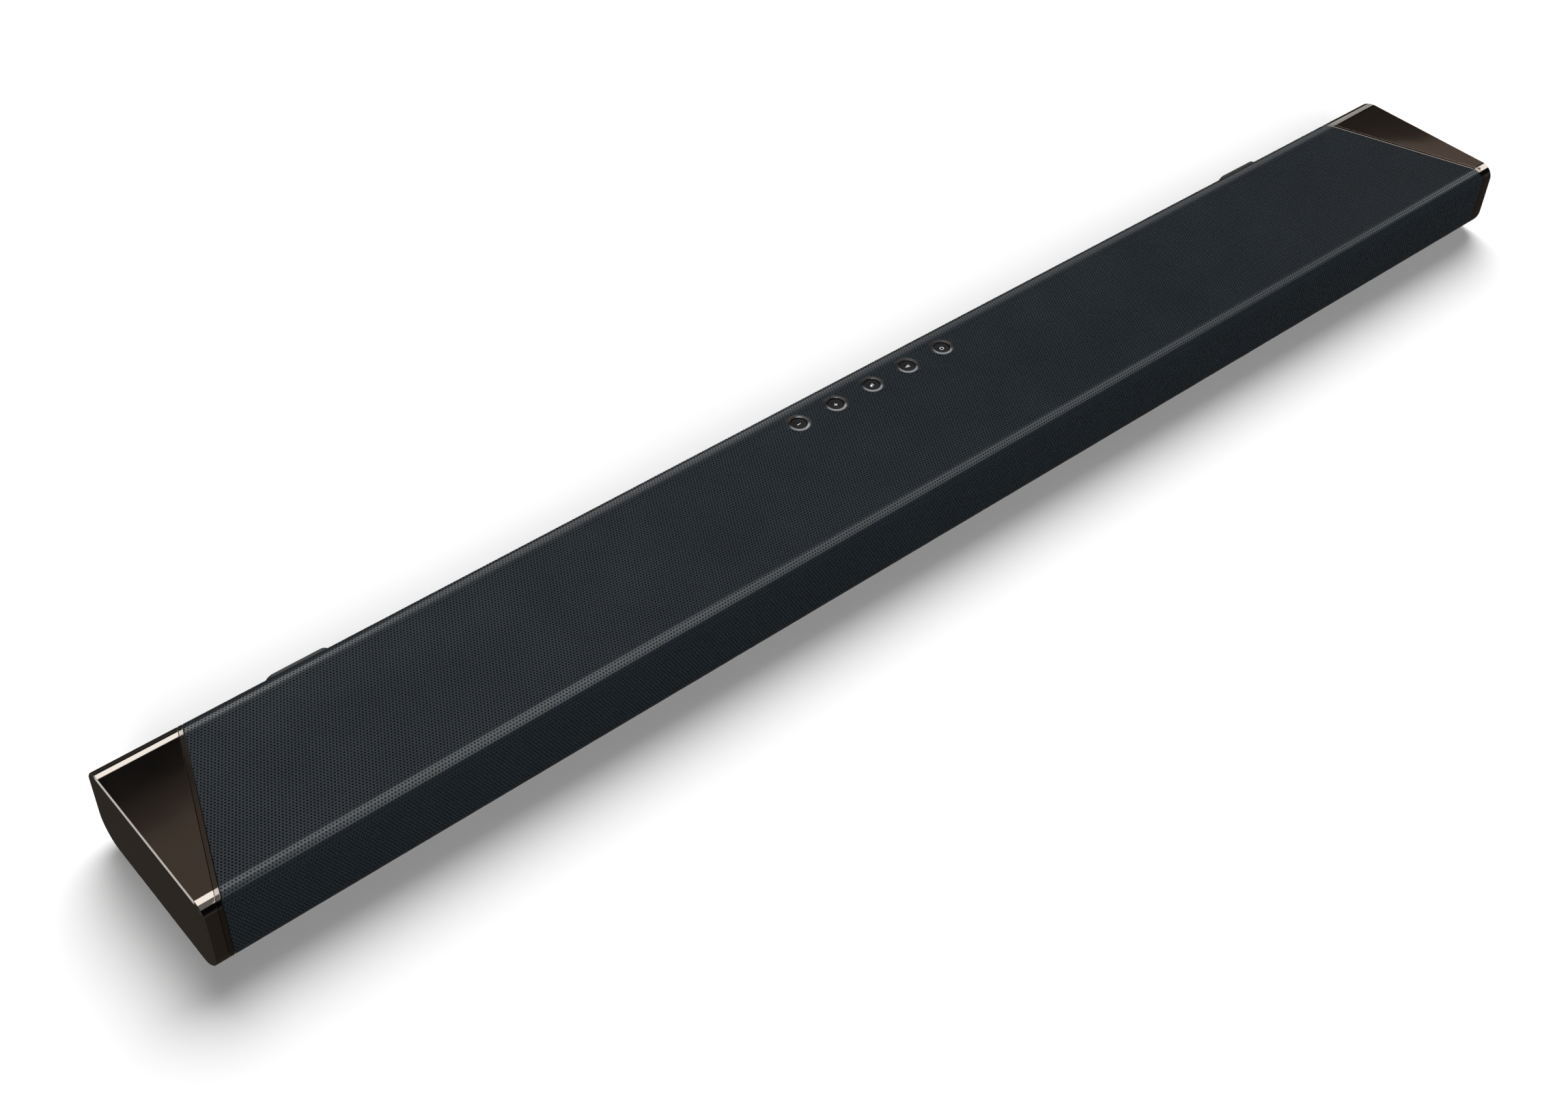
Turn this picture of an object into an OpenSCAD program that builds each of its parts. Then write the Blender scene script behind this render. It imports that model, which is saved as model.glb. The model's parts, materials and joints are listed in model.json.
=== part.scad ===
// Long soundbar: a moulded housing and cabinet under a wrap-round perforated grille, with angled end caps,
// five top buttons, oval woofers, dome tweeters, the electronics, and two keyhole brackets on the rear.
// X runs along the bar, -Y is the front, +Z is up. The origin is on the table, under the middle of the box.

/* [Body] */
// Length from side face to side face
bar_len = 1035; // [1025:1:1060]
// Depth from front face to rear wall
bar_depth = 117.3; // [116.5:0.1:120]
// Height without the feet
bar_height = 52.1; // [51.8:0.1:54]
// Radius of the two upper long edges
top_radius = 9.6; // [8:0.1:10]
// Radius of the lower front edge
front_low_radius = 15.3; // [14:0.1:16]
// Radius of the lower rear edge
rear_low_radius = 16.2; // [15:0.1:17]
// Wall of the lower housing
wall = 2.5; // [2:0.1:2.8]
// Height of the feet below the housing
foot_height = 2.5; // [1.5:0.1:4]
// Radius of a foot
foot_radius = 8; // [6:0.5:10]

/* [End caps] */
// Width of an end cap at mid depth
cap_width = 29.1; // [28:0.1:34]
// Plan angle of the joint between cap and grille
cap_angle = 20; // [15:1:22]
// Thickness of the bezel between cap and grille
bezel_thick = 2.6; // [1.5:0.1:3]
// Wall of an end cap
cap_wall = 2.4; // [2:0.1:3]

/* [Grille] */
// Thickness of the perforated sheet
grille_thick = 0.8; // [0.6:0.1:1]
// Thickness of the cloth behind it
cloth_thick = 0.4; // [0.3:0.1:0.5]
// How far the grille wraps round the lower front edge, in degrees
front_wrap = 20; // [10:1:30]
// Height of the grille's rear edge
grille_rear_z = 37.5; // [36:0.5:40]

/* [Buttons] */
// Distance from button to button
button_pitch = 30; // [26:1:30]
// Distance of the button row behind the centre line
button_y = 37.3; // [36:0.1:37.5]
// Radius of a button's top
button_radius = 5.1; // [4.6:0.1:5.2]
// Outer radius of a button's trim ring
ring_radius = 7.5; // [7:0.1:7.6]
// How far a button is pressed
button_travel = 0.6; // [0.4:0.1:0.6]

/* [Speakers] */
// Distance of the inner woofers from the middle
inner_woofer_x = 240; // [240:1:242]
// Distance of the tweeters from the middle
tweeter_x = 330; // [328:1:332]
// Distance of the outer woofers from the middle
outer_woofer_x = 420; // [418:1:421]
// Height of the drivers' axes
driver_z = 27; // [26.8:0.1:27.2]
// Straight length of a woofer's racetrack outline
woofer_straight = 72; // [64:1:72]
// Outer radius of a woofer's flange
woofer_radius = 20; // [19.8:0.1:20]
// Outer radius of a tweeter's flange
tweeter_radius = 20; // [19.8:0.1:20]

/* [Wall brackets] */
// Distance of each bracket from the middle
bracket_x = 391; // [385:1:395]
// How far a bracket stands out behind the rear wall
bracket_out = 12; // [10:0.5:14]
// Width of a bracket
bracket_width = 40.4; // [38:0.1:44]
// Radius of a keyhole's entry
keyhole_radius = 4.5; // [4.2:0.1:5]
// Half the width of a keyhole's slot
slot_radius = 2.3; // [2:0.1:2.4]

/* [Hidden] */
$fn = 64;
front_y = -bar_depth / 2;
rear_y = bar_depth / 2;
half_len = bar_len / 2;
reach = 100;
gap = 0.1;

// Corner circles of the section, each as [y, z, radius]
corners = [
    [front_y + top_radius, bar_height - top_radius, top_radius],
    [rear_y - top_radius, bar_height - top_radius, top_radius],
    [rear_y - rear_low_radius, rear_low_radius, rear_low_radius],
    [front_y + front_low_radius, front_low_radius, front_low_radius]
];
low_front = corners[3];

// Insets of the layers under the outer surface
cloth_out = grille_thick + 0.05;
cloth_in = cloth_out + cloth_thick;
frame_inset = cloth_in + gap;
tongue_inset = frame_inset + 2.6;
tongue_reach = 4;

// Joint planes of the ends, each by its distance from the middle at mid depth
cap_joint = half_len - cap_width;
bezel_joint = cap_joint - gap - bezel_thick / cos(cap_angle);
grille_end = bezel_joint - 0.4;
bulkhead_out = bezel_joint - 0.2;
bulkhead_thick = 3;
bulkhead_in = bulkhead_out - bulkhead_thick;
cabinet_end = bulkhead_in - gap;
cap_boss_spots = [[-22, 26], [24, 26]];
cap_boss_radius = 3.6;
boss_start = bulkhead_thick * cos(cap_angle) + 0.05;

// Cabinet plates
baffle_y = -50.5;
baffle_thick = 3;
top_plate_z = 46;
top_plate_thick = 2.5;
post_spots = [for (x = [200, 455], y = [-12, 40], s = [-1, 1]) [s * x, y]];
rib_spots = [for (x = [70, 134, 305, 355, 486], s = [-1, 1]) s * x];

// Screws of each wall bracket: their distance from its middle, and their height
bracket_screw_x = 13;
bracket_screw_z = 22.5;

// Screws, each as [head radius, head height, shaft radius]
case_screw = [2.9, 1.2, 1.45];
board_screw = [2.6, 1.6, 1.2];
small_screw = [1.9, 0.9, 0.95];
driver_screw = [2.1, 1.1, 1.25];

// Buttons: heights of the stack under the grille
ring_top = bar_height + 0.15;
ring_seat_z = bar_height - 3.1;
ring_bore = button_radius + 0.3;
button_top = bar_height - 0.55;
button_low = button_top - 1.6;
stem_radius = 2;
stem_low = bar_height - 6.7;
collar_radius = 2.9;
collar_top = stem_low + 0.5;
carrier_top = bar_height - 2.1;
carrier_low = bar_height - 4.9;
guide_low = collar_top + 0.3;
button_board_z = bar_height - 12.2;
board_thick = 1.6;
switch_top = stem_low - button_travel - gap;
button_xs = [for (i = [-2:2]) i * button_pitch];
carrier_screw_x = 82;
board_post_x = 1.5 * button_pitch;

// Woofers: depths behind the baffle's front face
cone_radius = 11.2;
cone_depth = 4.6;
coil_radius = 8.1;
coil_end = 20;
basket_depth = 15.2;
flange_thick = 1.2;
magnet_plate = 3;
magnet_depth = 8;
magnet_radius = 18;
screw_offset = [30, 18.2];
screw_boss = 8;
tweeter_screw = 17.9 * sin(45);
woofer_xs = [-outer_woofer_x, -inner_woofer_x, inner_woofer_x, outer_woofer_x];
tweeter_xs = [-tweeter_x, tweeter_x];

// Rear bays, each as [low x, high x], and their size
signal_bay = [56, 150];
mains_bay = [-156, -106];
bay_front_y = 34;
bay_top_z = 26;
bay_wall = 2;
board_z = 8;
board_y = [-18, 31.8];
board_top = board_z + board_thick;
main_board_x = [52, 172];
power_board_x = [-172, -52];
divider_x = 178;
loom_hole = [5, 13];
loom_radius = 9.5;

// Sockets on the signal board: middle of each along X, then its width and height
hdmi_spots = [66, 87];
hdmi_size = [15.2, 6];
optical_x = 106;
optical_size = [9.8, 9.8];
aux_x = 121;
aux_size = [8.4, 7];
usb_x = 138;
usb_size = [13.2, 6];
mains_x = -131;
mains_size = [21, 13];
socket_face_y = bay_front_y - gap;
jack_radius = 1.8;
jack_depth = 12;

// Routes of the speaker leads on the right, from the signal board out to each driver
lead_radius = 1.3;
lead_routes = [
    [[158, -8.8, 12.1], [158, -5.8, 12.1], [167, -1, 12.5], [178, 1.5, 11], [200, 0, 10], [230, -6, 8],
        [252, -12, 12], [262, -20, 21], [264, -28, 27], [264, -34.8, 27]],
    [[150, -8.8, 12.1], [150, -5.8, 12.1], [163, 3, 14], [178, 5, 15.5], [205, 5, 9], [260, 2, 6],
        [310, 0, 8], [326, -6, 15], [330, -20, 27], [330, -30, 27]],
    [[142, -8.8, 12.1], [142, -5.8, 12.1], [157, 6.5, 12.5], [178, 8.5, 11], [205, 10, 7], [270, 8, 5],
        [350, 6, 5], [410, 0, 8], [436, -10, 15], [443, -20, 24], [444, -28, 27], [444, -34.8, 27]]
];

// ---- Frames and shared shapes ----

// Moves the bar so that the origin is under the middle of its box, on the table
module in_bar() {
    translate([0, -bracket_out / 2, foot_height]) children();
}

// Mirrors to the left end when side is -1
module on_side(side) {
    mirror([side < 0 ? 1 : 0, 0, 0]) children();
}

// Extrudes a Y-Z section from one X to another
module along_x(x0, x1) {
    translate([x0, 0, 0]) rotate([90, 0, 90]) linear_extrude(x1 - x0) children();
}

// A box from its low corner to its high corner
module block(low, high) {
    translate(low) cube(high - low);
}

// The bar's outer section, moved inwards by inset
module outline(inset = 0) {
    for (c = corners) translate([c[0], c[1]]) circle(c[2] - inset);
    polygon([
        for (i = [0:3], step = [0, 1])
            let (c = corners[i], a = 180 - 90 * (i + step))
                [c[0] + (c[2] - inset) * cos(a), c[1] + (c[2] - inset) * sin(a)]
    ]);
}

// A skin of the section between two insets
module skin(outer, inner) {
    difference() {
        outline(outer);
        outline(inner);
    }
}

// The bar's whole shell between two insets
module shell(outer, inner) {
    difference() {
        along_x(-half_len, half_len) outline(outer);
        along_x(-bar_len, bar_len) outline(inner);
    }
}

// The part of the Y-Z plane that the grille covers: above its front lip and its rear edge
module grille_side(shift = 0) {
    lip = [low_front[0], low_front[1] - shift];
    polygon([
        lip,
        lip + reach * [-cos(front_wrap), -sin(front_wrap)],
        [-reach, reach], [reach, reach],
        [reach, grille_rear_z - shift], [low_front[0], grille_rear_z - shift]
    ]);
}

// Everything between the two joint planes that cross mid depth at x_mid
module between_joints(x_mid) {
    lean = reach * tan(cap_angle);
    translate([0, 0, -reach]) linear_extrude(3 * reach) polygon([
        [x_mid + lean, -reach], [x_mid - lean, reach],
        [-x_mid + lean, reach], [-x_mid - lean, -reach]
    ]);
}

// Everything past the right joint plane
module past_joint(x_mid) {
    lean = reach * tan(cap_angle);
    translate([0, 0, -reach]) linear_extrude(3 * reach) polygon([
        [x_mid + lean, -reach], [bar_len, -reach], [bar_len, reach], [x_mid - lean, reach]
    ]);
}

// Places a part at a distance past the right bulkhead's inner face, with its Z axis square to that face
module on_joint(distance, spot) {
    translate([bulkhead_in, 0, 0]) rotate([0, 0, cap_angle]) translate([distance, spot[0], spot[1]])
        rotate([0, 90, 0]) children();
}

// Places a driver at x on the baffle's front face, with its Z axis running to the rear
module on_baffle(x) {
    translate([x, baffle_y, driver_z]) rotate([-90, 0, 0]) children();
}

// Sweeps a (radius, depth) profile round a racetrack outline
module racetrack(straight) {
    for (turn = [0, 180]) rotate([0, 0, turn]) {
        translate([straight / 2, 0, 0]) rotate_extrude(angle = 180, start = -90) children();
        translate([-straight / 2, 0, 0]) rotate([90, 0, 90]) linear_extrude(straight) children();
    }
}

// A screw along +Z: head below zero, shaft above it
module screw(size, shaft) {
    translate([0, 0, -size[1]]) cylinder(r = size[0], h = size[1]);
    cylinder(r = size[2], h = shaft);
}

// The four corner spots of a racetrack or round flange
function four(spot) = [for (i = [-1, 1], j = [-1, 1]) [i * spot[0], j * spot[1], 0]];

// The four screw spots of a board, inset from its corners
function board_spots(span) = [
    for (x = [span[0] + 5, span[1] - 5], y = [board_y[0] + 5, board_y[1] - 15]) [x, y]
];

// ---- Swept leads ----

// A point of a smooth curve through a route, by Catmull-Rom
function curve_at(p, i, t) =
    let (a = p[max(i - 1, 0)], b = p[i], c = p[i + 1], d = p[min(i + 2, len(p) - 1)])
        0.5 * (2 * b + (c - a) * t + (2 * a - 5 * b + 4 * c - d) * t * t
            + (3 * b - a - 3 * c + d) * t * t * t);
function curve(p, steps) = concat(
    [for (i = [0:len(p) - 2], k = [0:steps - 1]) curve_at(p, i, k / steps)], [p[len(p) - 1]]
);
function unit(v) = v / norm(v);
function way(p, i) = unit(p[min(i + 1, len(p) - 1)] - p[max(i - 1, 0)]);

// Side directions of each ring, carried along the curve without twist
function sides(p, i = 0, last = [0, 0, 1]) = i == len(p) ? [] :
    let (w = way(p, i), s = unit(last - w * (last * w)))
        concat([s], sides(p, i + 1, s));

// A round lead along a route, as one closed tube
module lead(route, radius, steps = 2, faces = 8) {
    p = curve(route, steps);
    s = sides(p);
    n = len(p);
    points = [
        for (i = [0:n - 1], k = [0:faces - 1])
            let (a = 360 * k / faces, u = s[i], v = cross(way(p, i), u))
                p[i] + radius * (u * cos(a) + v * sin(a))
    ];
    polyhedron(points, concat(
        [[for (k = [0:faces - 1]) k]],
        [for (i = [0:n - 2], k = [0:faces - 1]) let (j = (k + 1) % faces)
            [i * faces + k, (i + 1) * faces + k, (i + 1) * faces + j, i * faces + j]],
        [[for (k = [faces - 1:-1:0]) (n - 1) * faces + k]]
    ));
}

// ---- Case ----

// The housing's outer skin below the grille, and the tongues that back the grille's edges
module housing_skin() {
    difference() {
        skin(0, wall);
        grille_side(0.25);
    }
    intersection() {
        skin(frame_inset, tongue_inset);
        translate([0, grille_rear_z - tongue_reach])
            square([reach, top_plate_z - gap - grille_rear_z + tongue_reach]);
    }
    intersection() {
        skin(frame_inset, tongue_inset);
        polygon([
            [low_front[0], low_front[1]],
            [low_front[0], low_front[1]] + reach * [-cos(front_wrap + 8), -sin(front_wrap + 8)],
            [low_front[0], low_front[1]] + reach * [-cos(front_wrap - 8), -sin(front_wrap - 8)]
        ]);
    }
}

// The windows in a bay's front wall that a socket shows through
module window(x, size) {
    slack = 0.3;
    block(
        [x - size[0] / 2 - slack, bay_front_y - bay_wall - 1, board_top - slack],
        [x + size[0] / 2 + slack, bay_front_y + 1, board_top + size[1] + slack]
    );
}

// Black lower tub with floor, rear wall, end walls, dividers and two cable bays
module lower_housing() {
    color("#1a1b1d") in_bar() difference() {
        union() {
            intersection() {
                along_x(-half_len, half_len) housing_skin();
                between_joints(bulkhead_out);
            }
            for (side = [-1, 1]) on_side(side) intersection() {
                along_x(half_len - reach, half_len) outline(frame_inset);
                past_joint(bulkhead_in);
                between_joints(bulkhead_out);
            }
            for (side = [-1, 1]) intersection() {
                block([side * divider_x - 1, baffle_y + baffle_thick + gap, 1],
                    [side * divider_x + 1, rear_y - 1, top_plate_z - gap]);
                along_x(-half_len, half_len) outline(wall - 0.5);
            }
            for (bay = [signal_bay, mains_bay]) intersection() {
                block([bay[0] - bay_wall, bay_front_y - bay_wall, 0.5],
                    [bay[1] + bay_wall, rear_y, bay_top_z + bay_wall]);
                along_x(-half_len, half_len) outline(0.5);
            }
            for (span = [main_board_x, power_board_x], spot = board_spots(span))
                translate([spot[0], spot[1], 1]) cylinder(r = 3, h = board_z - 1);
            for (side = [-1, 1], s = [-1, 1])
                translate([side * bracket_x + s * bracket_screw_x, rear_y - 8, bracket_screw_z])
                    rotate([-90, 0, 0]) cylinder(r = 3.5, h = 7);
        }
        for (bay = [signal_bay, mains_bay])
            block([bay[0], bay_front_y, -1], [bay[1], rear_y + 1, bay_top_z]);
        for (x = hdmi_spots) window(x, hdmi_size);
        window(optical_x, optical_size);
        window(aux_x, aux_size);
        window(usb_x, usb_size);
        window(mains_x, mains_size);
        for (side = [-1, 1]) translate([side * divider_x - 2, loom_hole[0], loom_hole[1]])
            rotate([0, 90, 0]) cylinder(r = loom_radius, h = 4);
        for (span = [main_board_x, power_board_x], spot = board_spots(span))
            translate([spot[0], spot[1], 3]) cylinder(r = board_screw[2] + 0.05, h = board_z);
        for (spot = post_spots) translate([spot[0], spot[1], -1]) {
            cylinder(r = case_screw[0] + 0.3, h = 2.3);
            cylinder(r = case_screw[2] + 0.25, h = 5);
        }
        for (spot = foot_spots()) translate([spot[0], spot[1], -1]) cylinder(r = foot_radius + 0.1, h = 1.8);
        for (side = [-1, 1], s = [-1, 1])
            translate([side * bracket_x + s * bracket_screw_x, rear_y - 9, bracket_screw_z])
                rotate([-90, 0, 0]) cylinder(r = case_screw[2] + 0.05, h = 12);
        for (side = [-1, 1], spot = cap_boss_spots) on_side(side)
            on_joint(-2, spot) cylinder(r = case_screw[2] + 0.25, h = 8);
    }
}

// Black cabinet: a top plate and a baffle in one, with the posts and ribs that carry the grille
module upper_cabinet() {
    color("#202124") in_bar() difference() {
        union() {
            intersection() {
                block([-half_len, baffle_y, top_plate_z], [half_len, rear_y, top_plate_z + top_plate_thick]);
                along_x(-half_len, half_len) outline(frame_inset);
                between_joints(cabinet_end);
            }
            intersection() {
                block([-half_len, baffle_y, 0], [half_len, baffle_y + baffle_thick, top_plate_z + 1]);
                along_x(-half_len, half_len) outline(wall + gap);
                between_joints(cabinet_end);
            }
            for (x = rib_spots) intersection() {
                along_x(x - 0.8, x + 0.8) difference() {
                    outline(frame_inset);
                    translate([baffle_y + 0.5, -reach]) square([2 * reach, reach + top_plate_z + 2]);
                    translate([-reach, -reach]) square([2 * reach, reach + 13]);
                }
                between_joints(cabinet_end);
            }
            for (spot = post_spots) translate([spot[0], spot[1], wall + gap])
                cylinder(r = 3.6, h = top_plate_z - wall);
            for (x = woofer_xs, spot = four(screw_offset)) on_baffle(x)
                translate([spot[0], spot[1], 1]) cylinder(r = 2.2, h = screw_boss - 1);
        }
        for (x = woofer_xs) on_baffle(x) translate([0, 0, -1]) racetrack(woofer_straight)
            square([woofer_radius - 3.5, screw_boss + 2]);
        for (x = tweeter_xs) on_baffle(x) translate([0, 0, -1]) cylinder(r = 15.8, h = baffle_thick + 2);
        for (x = woofer_xs, spot = four(screw_offset)) on_baffle(x)
            translate([spot[0], spot[1], -1]) cylinder(r = driver_screw[2] + 0.05, h = 10);
        for (x = tweeter_xs, spot = four([tweeter_screw, tweeter_screw])) on_baffle(x)
            translate([spot[0], spot[1], -1]) cylinder(r = driver_screw[2] + 0.05, h = 10);
        for (spot = post_spots) translate([spot[0], spot[1], 0])
            cylinder(r = case_screw[2] + 0.05, h = 18);
        block([-78, button_y - 10, top_plate_z - 1], [78, button_y + 10, top_plate_z + 4]);
        block([-88, button_y - 11.2, top_plate_z + top_plate_thick], [88, button_y + 11.2, bar_height]);
        for (spot = carrier_spots()) translate([spot[0], spot[1], top_plate_z - 1])
            cylinder(r = small_screw[2] + 0.05, h = 5);
    }
}

// Charcoal steel grille, wrapped over the top and down the front
module grille() {
    color("#2c3033") in_bar() difference() {
        intersection() {
            shell(0, grille_thick);
            along_x(-half_len, half_len) grille_side();
            between_joints(grille_end);
        }
        for (x = button_xs) translate([x, button_y, bar_height - 2])
            cylinder(r = ring_radius + gap, h = 4);
    }
}

// Black acoustic cloth bonded inside the grille
module grille_cloth() {
    color("#111111") in_bar() difference() {
        intersection() {
            shell(cloth_out, cloth_in);
            along_x(-half_len, half_len) grille_side();
            between_joints(grille_end);
        }
        for (x = button_xs) translate([x, button_y, bar_height - 3])
            cylinder(r = ring_radius + 0.6, h = 4);
    }
}

// Gloss bronze cap: a hollow end with two screw bosses
module end_cap(side) {
    color("#3a2f29") in_bar() on_side(side) difference() {
        union() {
            intersection() {
                difference() {
                    along_x(half_len - reach, half_len) outline();
                    along_x(half_len - reach - 1, half_len - cap_wall) outline(cap_wall);
                }
                past_joint(cap_joint);
            }
            for (spot = cap_boss_spots) intersection() {
                on_joint(boss_start, spot) cylinder(r = cap_boss_radius, h = reach / 2);
                along_x(half_len - reach, half_len - 1) outline(1);
            }
        }
        for (spot = cap_boss_spots) on_joint(boss_start - 1, spot)
            cylinder(r = case_screw[2] + 0.05, h = 15);
    }
}
module left_end_cap() end_cap(-1);
module right_end_cap() end_cap(1);

// Gloss frame between a cap and the grille
module bezel(side) {
    color("#2b241f") in_bar() on_side(side) intersection() {
        shell(0, 6);
        past_joint(bezel_joint);
        between_joints(bezel_joint + bezel_thick / cos(cap_angle));
    }
}
module left_bezel() bezel(-1);
module right_bezel() bezel(1);

// ---- Buttons ----

// A dished button top on a stem, with a collar that keeps it in its guide
module button(index) {
    dish = 0.45;
    dish_radius = (pow(button_radius - 0.5, 2) + dish * dish) / (2 * dish);
    color("#0d0e10") in_bar() translate([button_xs[index], button_y, 0]) {
        difference() {
            translate([0, 0, button_low]) cylinder(r = button_radius, h = button_top - button_low);
            translate([0, 0, button_top - dish + dish_radius]) sphere(dish_radius);
        }
        translate([0, 0, stem_low]) cylinder(r = stem_radius, h = button_low - stem_low + 0.2);
        translate([0, 0, stem_low]) cylinder(r = collar_radius, h = collar_top - stem_low);
    }
}
module power_button() button(4);
module source_button() button(3);
module mute_button() button(2);
module volume_up_button() button(1);
module volume_down_button() button(0);

// Five trim rings, set in the grille, each with a slope down to its button
module button_rings() {
    color("#4a4d50") in_bar() for (x = button_xs) translate([x, button_y, 0]) rotate_extrude() polygon([
        [ring_bore, ring_seat_z], [ring_radius, ring_seat_z], [ring_radius, ring_top - 0.05],
        [ring_radius - 0.4, ring_top], [ring_bore, button_top - 0.1]
    ]);
}

function carrier_spots() = [for (s = [-1, 1], y = [-7, 7]) [s * carrier_screw_x, button_y + y]];

// Moulded strip that holds the rings and guides the stems
module button_carrier() {
    color("#1d1e20") in_bar() difference() {
        union() {
            block([-77.5, button_y - 9.5, carrier_low], [77.5, button_y + 9.5, carrier_top]);
            block([-87, button_y - 11, top_plate_z + top_plate_thick], [87, button_y + 11, carrier_top]);
            for (x = button_xs) translate([x, button_y, guide_low])
                cylinder(r = 4, h = carrier_low - guide_low + 0.5);
            for (s = [-1, 1]) translate([s * board_post_x, button_y, button_board_z + board_thick])
                cylinder(r = 2.6, h = carrier_low - button_board_z - board_thick + 0.5);
        }
        for (x = button_xs) translate([x, button_y, 0]) {
            translate([0, 0, guide_low - 1]) cylinder(r = stem_radius + 0.08, h = 8);
            translate([0, 0, ring_seat_z]) cylinder(r = ring_radius + gap, h = 4);
        }
        for (s = [-1, 1]) translate([s * board_post_x, button_y, button_board_z])
            cylinder(r = small_screw[2] + 0.05, h = 7);
        for (spot = carrier_spots()) translate([spot[0], spot[1], 0]) {
            translate([0, 0, top_plate_z]) cylinder(r = small_screw[2] + 0.15, h = 10);
            translate([0, 0, carrier_top - small_screw[1]]) cylinder(r = small_screw[0] + gap, h = 4);
        }
    }
}

// Circuit board under the buttons
module button_board() {
    color("#1f5b34") in_bar() difference() {
        block([-72, button_y - 7, button_board_z], [72, button_y + 7, button_board_z + board_thick]);
        for (s = [-1, 1]) translate([s * board_post_x, button_y, button_board_z - 1])
            cylinder(r = small_screw[2] + 0.15, h = 4);
    }
}

// Five push switches, one under each stem
module button_switches() {
    body = 1.9;
    color("#8a8d90") in_bar() for (x = button_xs)
        translate([x, button_y, button_board_z + board_thick]) {
            translate([-3, -3, 0]) cube([6, 6, body]);
            cylinder(r = 1.7, h = switch_top - button_board_z - board_thick);
        }
}

// ---- Speakers ----

// Pressed steel woofer baskets
module woofer_baskets() {
    color("#3c3f42") in_bar() for (x = woofer_xs) on_baffle(x) difference() {
        union() {
            racetrack(woofer_straight) polygon([
                [14, -flange_thick], [woofer_radius, -flange_thick], [woofer_radius, 0],
                [woofer_radius - 3.7, 0], [woofer_radius - 3.7, basket_depth], [0, basket_depth],
                [0, basket_depth - 1.2], [woofer_radius - 4.9, basket_depth - 1.2],
                [woofer_radius - 4.9, 0], [14, 0]
            ]);
            translate([0, 0, 9.6]) difference() {
                cylinder(r = 15.4, h = basket_depth - 9.6);
                translate([0, 0, -1]) cylinder(r = 13, h = 10);
            }
        }
        translate([0, 0, basket_depth - 2]) cylinder(r = coil_radius + 0.6, h = 4);
        for (spot = four(screw_offset)) translate([spot[0], spot[1], -3])
            cylinder(r = driver_screw[2] + 0.2, h = 6);
        for (s = [-1, 1], t = [-1, 1])
            block([s * 27 - 8, t * 15 - 4, 4], [s * 27 + 8, t * 15 + 4, basket_depth - 3]);
    }
}

// Ferrite rings with steel plates and pole pieces
module woofer_magnets() {
    gap_out = coil_radius + 0.4;
    pole = coil_radius - 0.9;
    top = basket_depth;
    color("#55585c") in_bar() for (x = woofer_xs) on_baffle(x) rotate_extrude() polygon([
        [0, top], [pole, top], [pole, top + magnet_plate + magnet_depth],
        [gap_out + 3, top + magnet_plate + magnet_depth], [gap_out + 3, top + magnet_plate],
        [gap_out, top + magnet_plate], [gap_out, top], [magnet_radius, top],
        [magnet_radius, top + magnet_plate], [magnet_radius - 0.5, top + magnet_plate],
        [magnet_radius - 0.5, top + magnet_plate + magnet_depth],
        [magnet_radius, top + magnet_plate + magnet_depth],
        [magnet_radius, top + 2 * magnet_plate + magnet_depth], [0, top + 2 * magnet_plate + magnet_depth]
    ]);
}

// Cloth suspensions between the coil formers and the baskets
module woofer_spiders() {
    color("#c49a3a") in_bar() for (x = woofer_xs) on_baffle(x) translate([0, 0, 9]) difference() {
        cylinder(r = 14.6, h = 0.6);
        translate([0, 0, -1]) cylinder(r = coil_radius, h = 3);
    }
}

// Rubber half-roll edges
module woofer_surrounds() {
    roll = 2;
    color("#151515") in_bar() for (x = woofer_xs) on_baffle(x) racetrack(woofer_straight) {
        intersection() {
            translate([cone_radius + roll, -flange_thick]) difference() {
                circle(roll);
                circle(roll - 0.5);
            }
            translate([0, -flange_thick - 5]) square([20, 5]);
        }
        translate([cone_radius + 2 * roll - 0.5, -flange_thick - 0.5]) square([0.9, 0.5]);
        translate([cone_radius - 1, -flange_thick - 0.5]) square([1.5, 0.5]);
    }
}

// A racetrack cone with its raised ridge and coil former
module cone(index) {
    ridge = [4.6, 1.8];
    ridge_radius = (ridge[0] * ridge[0] + ridge[1] * ridge[1]) / (2 * ridge[1]);
    web = cone_depth - 0.7;
    color("#25272a") in_bar() on_baffle(woofer_xs[index]) {
        racetrack(woofer_straight) {
            polygon([
                [cone_radius, -flange_thick], [cone_radius, -flange_thick + 0.7],
                [cone_radius - 1.2, -flange_thick + 0.7], [coil_radius + 0.6, cone_depth],
                [0, cone_depth], [0, web], [coil_radius - 0.2, web], [cone_radius - 2, -flange_thick]
            ]);
            intersection() {
                translate([0, web - ridge[1] + ridge_radius]) circle(ridge_radius);
                translate([0, web - ridge[1]]) square([ridge[0], ridge[1] + 0.2]);
            }
        }
        translate([0, 0, cone_depth - 0.2]) difference() {
            cylinder(r = coil_radius, h = coil_end - cone_depth + 0.2);
            translate([0, 0, 0.2]) cylinder(r = coil_radius - 0.5, h = coil_end);
        }
    }
}
module far_left_cone() cone(0);
module near_left_cone() cone(1);
module near_right_cone() cone(2);
module far_right_cone() cone(3);

// Tweeter flanges with their rear cups
module tweeter_bodies() {
    color("#2a2c2f") in_bar() for (x = tweeter_xs) on_baffle(x) difference() {
        rotate_extrude() polygon([
            [12.6, -1.2], [14.6, -2], [tweeter_radius - 0.5, -2], [tweeter_radius, -1.5],
            [tweeter_radius, 0], [15.6, 0], [15.6, 12], [0, 12], [0, 10.5], [14, 10.5], [14, 0],
            [12.6, 0]
        ]);
        for (spot = four([tweeter_screw, tweeter_screw])) translate([spot[0], spot[1], -3])
            cylinder(r = driver_screw[2] + 0.2, h = 6);
    }
}

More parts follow.
